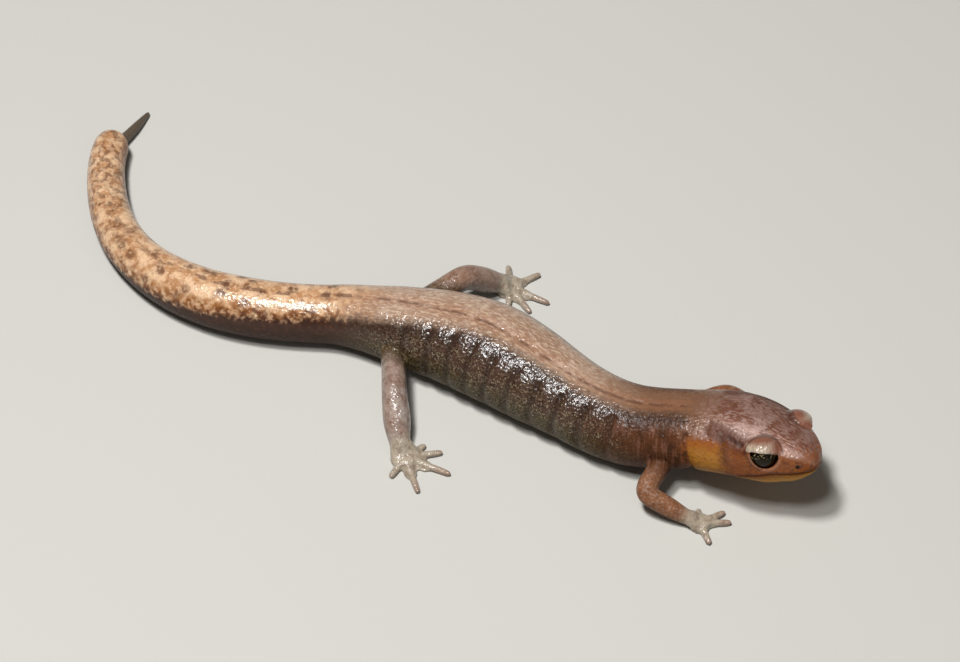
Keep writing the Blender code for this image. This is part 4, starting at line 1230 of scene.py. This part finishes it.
def skin_patterns(tree):
    """What the skin's material is painted with: the looks it reads, the noises and the masks."""
    read = {name: node(tree, "ShaderNodeAttribute", output=2, attribute_name=name) for name in LOOKS}
    place = node(tree, "ShaderNodeTexCoord", output=3)
    millimetres = node(tree, "ShaderNodeVectorMath", {0: place, 3: 1 / MM}, operation="SCALE")
    unrolled = node(tree, "ShaderNodeCombineXYZ", {"X": read["along"], "Y": read["turn"]})
    # Places stretched along the animal, round it, and across the lid, so that noise there draws streaks.
    lengthwise = node(tree, "ShaderNodeVectorMath", {0: unrolled, 1: (0.7, 0.16, 1)}, operation="MULTIPLY")
    round_body = node(tree, "ShaderNodeVectorMath", {0: unrolled, 1: (3.2, 0.035, 1)}, operation="MULTIPLY")
    lid_height = node(tree, "ShaderNodeMath", {0: read["lid_top"], 1: 0.15}, operation="MULTIPLY")
    across_lid = node(tree, "ShaderNodeCombineXYZ", {"X": read["lid_across"], "Y": lid_height})
    vectors = dict(place=millimetres, lengthwise=lengthwise, round_body=round_body, across_lid=across_lid)
    noise = {
        name: node(tree, "ShaderNodeTexNoise", {"Vector": vectors[vector], "Scale": scale, "Detail": detail})
        for name, (vector, scale, detail) in NOISES.items()
    }
    warped = node(tree, "ShaderNodeTexNoise", {"Vector": millimetres, "Scale": 1.4, "Detail": 2}, output=1)
    shift = {0: warped, 1: (1.3, 1.3, 1.3), 2: millimetres}
    warped = node(tree, "ShaderNodeVectorMath", shift, operation="MULTIPLY_ADD")
    # Dots of about 0.1 mm, one in each cell of 0.2 mm.
    dots = node(tree, "ShaderNodeTexVoronoi", {"Vector": millimetres, "Scale": 4.6})
    # Round spots of about 1 mm, one in each cell of 1.8 mm.
    round_spots = node(tree, "ShaderNodeTexVoronoi", {"Vector": warped, "Scale": 0.56})
    # Borders waver by a sum of two noises, each about nought.
    wobbles = [
        node(tree, "ShaderNodeMath", {0: source, 1: times, 2: plus}, operation="MULTIPLY_ADD")
        for source, times, plus in ((noise["mottles"], 1.8, -0.9), (noise["specks"], 0.9, -0.45))
    ]
    wobble = node(tree, "ShaderNodeMath", dict(enumerate(wobbles)), operation="ADD")
    sources = {**read, **noise, "dots": dots, "round_spots": round_spots}
    for name, times in (("edge", 0.8), ("along", 2.5), ("down", 14.0)):
        wavy = {0: wobble, 1: times, 2: read[name]}
        sources["wavy_" + name] = node(tree, "ShaderNodeMath", wavy, operation="MULTIPLY_ADD")
    mask = {
        name: node(
            tree, "ShaderNodeMapRange", {0: sources[source], 1: low, 2: high, 4: full},
            interpolation_type="SMOOTHSTEP",
        )
        for name, (source, low, high, full) in MASKS.items()
    }
    for name, (first, second) in PRODUCTS.items():
        factors = {0: mask[first], 1: mask.get(second) or read[second]}
        mask[name] = node(tree, "ShaderNodeMath", factors, operation="MULTIPLY")
    return read, noise, mask, millimetres


def skin_paint(tree, colours, read, mask):
    """Colour of the skin: paints mixed over one another where the masks and the looks say."""
    paint = {}
    for name, (ground, *over) in PAINTS.items():
        paint[name] = paint.get(ground) or opaque(getattr(colours, ground))
        for top, where in over:
            top = paint.get(top) or opaque(getattr(colours, top))
            mix = {0: mask.get(where) or read[where], 6: paint[name], 7: top}
            paint[name] = node(tree, "ShaderNodeMix", mix, output=2, data_type="RGBA")
    return paint["whole"]


def wet_amphibian_skin(colours, sizes):
    """Living salamander skin: thin, smooth between fine glands, and covered with a film of mucus and water.
    It is half matt underneath and throws small sharp highlights from every swelling."""
    material, tree = new_material("wet_amphibian_skin")
    read, noise, mask, millimetres = skin_patterns(tree)
    paint = skin_paint(tree, colours, read, mask)
    # Glands of about 0.35 mm.
    glands = node(tree, "ShaderNodeTexVoronoi", {"Vector": millimetres, "Scale": 2.8}, feature="SMOOTH_F1")
    # The trunk and the limbs are rough with glands, and the tail is smoother.
    rough = node(tree, "ShaderNodeMath", {0: mask["smoother"], 1: -0.4, 2: 1.0}, operation="MULTIPLY_ADD")
    bump = None
    for height, times, distance, turned in (
        (noise["wrinkles"], 1.0, sizes.wrinkle_height, False),
        (noise["streaks"], 0.5, sizes.wrinkle_height, False),
        (glands, 1.0, sizes.gland_height, True),
        (noise["specks"], 1.0, sizes.grain_height, False),
    ):
        height = node(tree, "ShaderNodeMath", {0: height, 1: rough}, operation="MULTIPLY")
        inputs = {"Height": height, "Strength": times, "Distance": distance}
        if bump:
            inputs["Normal"] = bump
        bump = node(tree, "ShaderNodeBump", inputs, invert=turned)
    # The film of water lies over grains that are coarser on the limbs and the head than elsewhere.
    coarser = node(tree, "ShaderNodeMath", {0: mask["head_zone"], 1: read["limb"]}, operation="MAXIMUM")
    coarser = node(tree, "ShaderNodeMath", {0: coarser, 1: 0.4, 2: 0.5}, operation="MULTIPLY_ADD")
    for factor in (noise["grains"], rough):
        coarser = node(tree, "ShaderNodeMath", {0: coarser, 1: factor}, operation="MULTIPLY")
    grain_bump = node(
        tree, "ShaderNodeBump",
        {"Height": coarser, "Normal": bump, "Strength": 1.0, "Distance": sizes.grain_height},
    )
    # The film is thick on the back, the limbs and the upper flanks. It thins out towards the belly, on the
    # neck and in the groove behind the eye.
    wet = node(tree, "ShaderNodeMath", {0: mask["wet"], 1: read["limb"]}, operation="MAXIMUM")
    for dry in ("dry_neck", "dry_groove"):
        wet = node(tree, "ShaderNodeMath", {0: wet, 1: mask[dry]}, operation="SUBTRACT", use_clamp=True)
    shader = node(
        tree, "ShaderNodeBsdfPrincipled",
        {
            "Base Color": paint, "Roughness": 0.4, "IOR": 1.4, "Normal": bump, "Specular IOR Level": 0.1,
            "Coat Weight": wet, "Coat Roughness": 0.18, "Coat IOR": 1.42, "Coat Normal": grain_bump,
            "Subsurface Weight": 0.08, "Subsurface Radius": (0.5 * MM, 0.25 * MM, 0.12 * MM),
            "Subsurface Scale": 1.0,
        },
    )
    node(tree, "ShaderNodeOutputMaterial", {"Surface": shader})
    return material


def dark_eye(looks):
    """Cornea over a black-brown iris: a clear wet dome, so nearly a mirror, with gold flecks in the iris and
    an olive lower part that is partly a painted reflection.
    """
    material, tree = new_material("wet_dark_eye")
    height = node(tree, "ShaderNodeAttribute", output=2, attribute_name="eye_up")
    place = node(tree, "ShaderNodeTexCoord", output=3)
    millimetres = node(tree, "ShaderNodeVectorMath", {0: place, 3: 1 / MM}, operation="SCALE")
    # Flecks of about 0.2 mm.
    flecks = node(tree, "ShaderNodeTexNoise", {"Vector": millimetres, "Scale": 4.5, "Detail": 2})
    masks = [
        node(tree, "ShaderNodeMapRange", {0: source, 1: low, 2: high}, interpolation_type="SMOOTHSTEP")
        for source, low, high in ((height, 0.1, -0.9), (flecks, 0.5, 0.6), (height, -0.45, 0.2))
    ]
    spots = node(tree, "ShaderNodeMath", {0: masks[1], 1: masks[2]}, operation="MULTIPLY")
    ground = opaque(looks.ground)
    for factor, over in ((masks[0], looks.olive), (spots, looks.fleck)):
        mix = {0: factor, 6: ground, 7: opaque(over)}
        ground = node(tree, "ShaderNodeMix", mix, output=2, data_type="RGBA")
    shader = node(
        tree, "ShaderNodeBsdfPrincipled",
        {
            "Base Color": ground, "Roughness": 0.3, "IOR": 1.376, "Specular IOR Level": 0.1,
            "Coat Weight": 0.35, "Coat Roughness": 0.03, "Coat IOR": 1.38,
        },
    )
    node(tree, "ShaderNodeOutputMaterial", {"Surface": shader})
    return material


def matte_floor(studio):
    """Painted studio board: flat emulsion, so no highlight and an even pale grey."""
    material, tree = new_material("matte_painted_board")
    place = node(tree, "ShaderNodeTexCoord", output=3)
    # Roller texture of about 1.5 mm, very faint.
    stipple = node(tree, "ShaderNodeTexNoise", {"Vector": place, "Scale": 650.0, "Detail": 3})
    bump = node(tree, "ShaderNodeBump", {"Height": stipple, "Strength": 0.1, "Distance": 0.02 * MM})
    paint = {"Base Color": opaque(studio.floor), "Roughness": 0.85, "Normal": bump}
    shader = node(tree, "ShaderNodeBsdfPrincipled", paint)
    node(tree, "ShaderNodeOutputMaterial", {"Surface": shader})
    return material


def model_shift():
    """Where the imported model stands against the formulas, in metres, from the middle of its right eye."""
    low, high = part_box("eye_right")
    return (np.array(low) + np.array(high)) / 2 - eye_frame(-1)[0] * MM


class SALAMANDER_OT_skin(bpy.types.Operator):
    """Build the skin of the whole animal as one surface"""

    bl_idname = "salamander.skin"
    bl_label = "Build the skin"

    def execute(self, context):
        sizes = context.scene.salamander_skin_sizes
        spacing = sizes.point_spacing / MM
        obj = object_from("skin", *skin_forms(sizes.costal_depth / MM))
        remesh(obj, spacing)
        cut(obj, openings())
        remesh(obj, spacing)
        mesh = obj.data
        relax(mesh, EVEN_STEPS)
        place = body_place(points_of(mesh))
        outside, foot, _ = limb_place(points_of(mesh))
        near_limb = smooth_rise(outside, 0.8, 0.2) * (place["at"] > CREASE["behind"])
        relax(mesh, CREASE_STEPS, crease_weight(mesh, spacing) * near_limb, keep_volume=False)
        points, normals = points_of(mesh), normals_of(mesh)
        points = points + head_forms(points, body_place(points), sizes)[:, None] * normals
        points[:, 2] = np.maximum(points[:, 2], 0)
        mesh.vertices.foreach_set("co", points.astype(np.float32).ravel())
        mesh.update()
        keep_fine = obj.vertex_groups.new(name="keep fine")
        fine = np.nonzero((place["at"] < FINE["before"]) | (foot > FINE["foot"]))[0]
        keep_fine.add(fine.tolist(), 1.0, "REPLACE")
        modifier = obj.modifiers.new("fewer faces", "DECIMATE")
        modifier.ratio = min(1.0, SKIN_FACES / (2 * len(mesh.polygons)))
        modifier.vertex_group = keep_fine.name
        modifier.invert_vertex_group = True
        modifier.vertex_group_factor = FINE["weight"]
        apply_modifiers(obj)
        mesh = obj.data
        obj.vertex_groups.clear()
        write_looks(mesh, points_of(mesh))
        mesh.transform(Matrix.Translation(Vector(model_shift().tolist())) @ Matrix.Scale(MM, 4))
        mesh.shade_smooth()
        mesh.materials.clear()
        mesh.materials.append(wet_amphibian_skin(context.scene.salamander_skin_colours, sizes))
        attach(obj, "root")
        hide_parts(*SKIN_NODES)
        return {"FINISHED"}


class SALAMANDER_OT_eyes(bpy.types.Operator):
    """Build both eyes"""

    bl_idname = "salamander.eyes"
    bl_label = "Build the eyes"

    def execute(self, context):
        material = dark_eye(context.scene.salamander_eyes)
        shift = model_shift()
        for side, label in ((-1, "right"), (1, "left")):
            centre, gaze, across, up = eye_frame(side)
            points, faces = ellipsoid(centre, EYE_RADIUS * np.array([across, up, gaze]), 64, 48)
            obj = object_from("eyeball_" + label, points * MM + shift, faces)
            attribute = obj.data.attributes.new("eye_up", "FLOAT", "POINT")
            attribute.data.foreach_set("value", dot(points - centre, up).astype(np.float32))
            obj.data.shade_smooth()
            obj.data.materials.append(material)
            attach(obj, "root")
            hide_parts("eye_" + label)
        return {"FINISHED"}


def way_to(azimuth, elevation):
    """Unit vector towards a place this far round from the animal's right side and this high, in radians."""
    level = np.cos(elevation)
    return Vector((np.sin(azimuth) * level, -np.cos(azimuth) * level, np.sin(elevation)))


def aimed(name, data, way, distance):
    """Object of a lamp or a camera at this distance from the point aimed at, turned towards it."""
    obj = bpy.data.objects.new(name, data)
    bpy.context.scene.collection.objects.link(obj)
    obj.location = Vector(CAMERA_AIM) + distance * way
    obj.rotation_euler = (-way).to_track_quat("-Z", "Y").to_euler()
    return obj


class SALAMANDER_OT_studio(bpy.types.Operator):
    """Set up the floor, the lights and the camera"""

    bl_idname = "salamander.studio"
    bl_label = "Set up the studio"

    def execute(self, context):
        studio = context.scene.salamander_studio
        half = FLOOR_HALF_WIDTH
        corners = np.array([[-half, -half, 0], [half, -half, 0], [half, half, 0], [-half, half, 0]])
        floor = object_from("floor", corners, np.array([[0, 1, 2, 3]]))
        floor.data.materials.append(matte_floor(studio))
        camera = bpy.data.cameras.new("camera")
        for setting, value in LENS.items():
            setattr(camera, setting, value)
        way = way_to(studio.azimuth, studio.elevation)
        context.scene.camera = aimed("camera", camera, way, studio.distance)
        for name, (azimuth, elevation, distance, size, share) in SOFTBOXES.items():
            lamp = bpy.data.lights.new(name, "AREA")
            lamp.shape = "SQUARE"
            lamp.size = size
            lamp.energy = share * studio.key_power
            aimed(name, lamp, way_to(*np.radians([azimuth, elevation])), distance)
        world = bpy.data.worlds.new("studio air")
        world.use_nodes = True
        background = world.node_tree.nodes["Background"]
        background.inputs["Color"].default_value = opaque(studio.air)
        background.inputs["Strength"].default_value = studio.air_strength
        context.scene.world = world
        context.scene.view_settings.view_transform = "Standard"
        return {"FINISHED"}


class SALAMANDER_PT_panel(bpy.types.Panel):
    """Lists the operators and the sizes and colours they use"""

    bl_idname = "SALAMANDER_PT_panel"
    bl_label = "Salamander"
    bl_space_type = "VIEW_3D"
    bl_region_type = "UI"
    bl_category = "Salamander"

    def draw(self, context):
        for operator in OPERATORS:
            self.layout.operator(operator.bl_idname)
        for name in SETTINGS:
            group = getattr(context.scene, name)
            box = self.layout.box()
            for field in group.bl_rna.properties.keys():
                if field not in ("rna_type", "name"):
                    box.prop(group, field)


OPERATORS = (SALAMANDER_OT_skin, SALAMANDER_OT_eyes, SALAMANDER_OT_studio)
SETTINGS = {
    "salamander_skin_sizes": SkinSizes,
    "salamander_skin_colours": SkinColours,
    "salamander_eyes": EyeLooks,
    "salamander_studio": Studio,
}


def register():
    for group in SETTINGS.values():
        bpy.utils.register_class(group)
    for made in (*OPERATORS, SALAMANDER_PT_panel):
        bpy.utils.register_class(made)
    for name, group in SETTINGS.items():
        setattr(bpy.types.Scene, name, PointerProperty(type=group))


def unregister():
    for name in SETTINGS:
        delattr(bpy.types.Scene, name)
    for made in (SALAMANDER_PT_panel, *OPERATORS[::-1]):
        bpy.utils.unregister_class(made)
    for group in SETTINGS.values():
        bpy.utils.unregister_class(group)


def main():
    register()
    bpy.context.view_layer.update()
    bpy.ops.salamander.skin()
    bpy.ops.salamander.eyes()
    bpy.ops.salamander.studio()


if __name__ == "__main__":
    main()
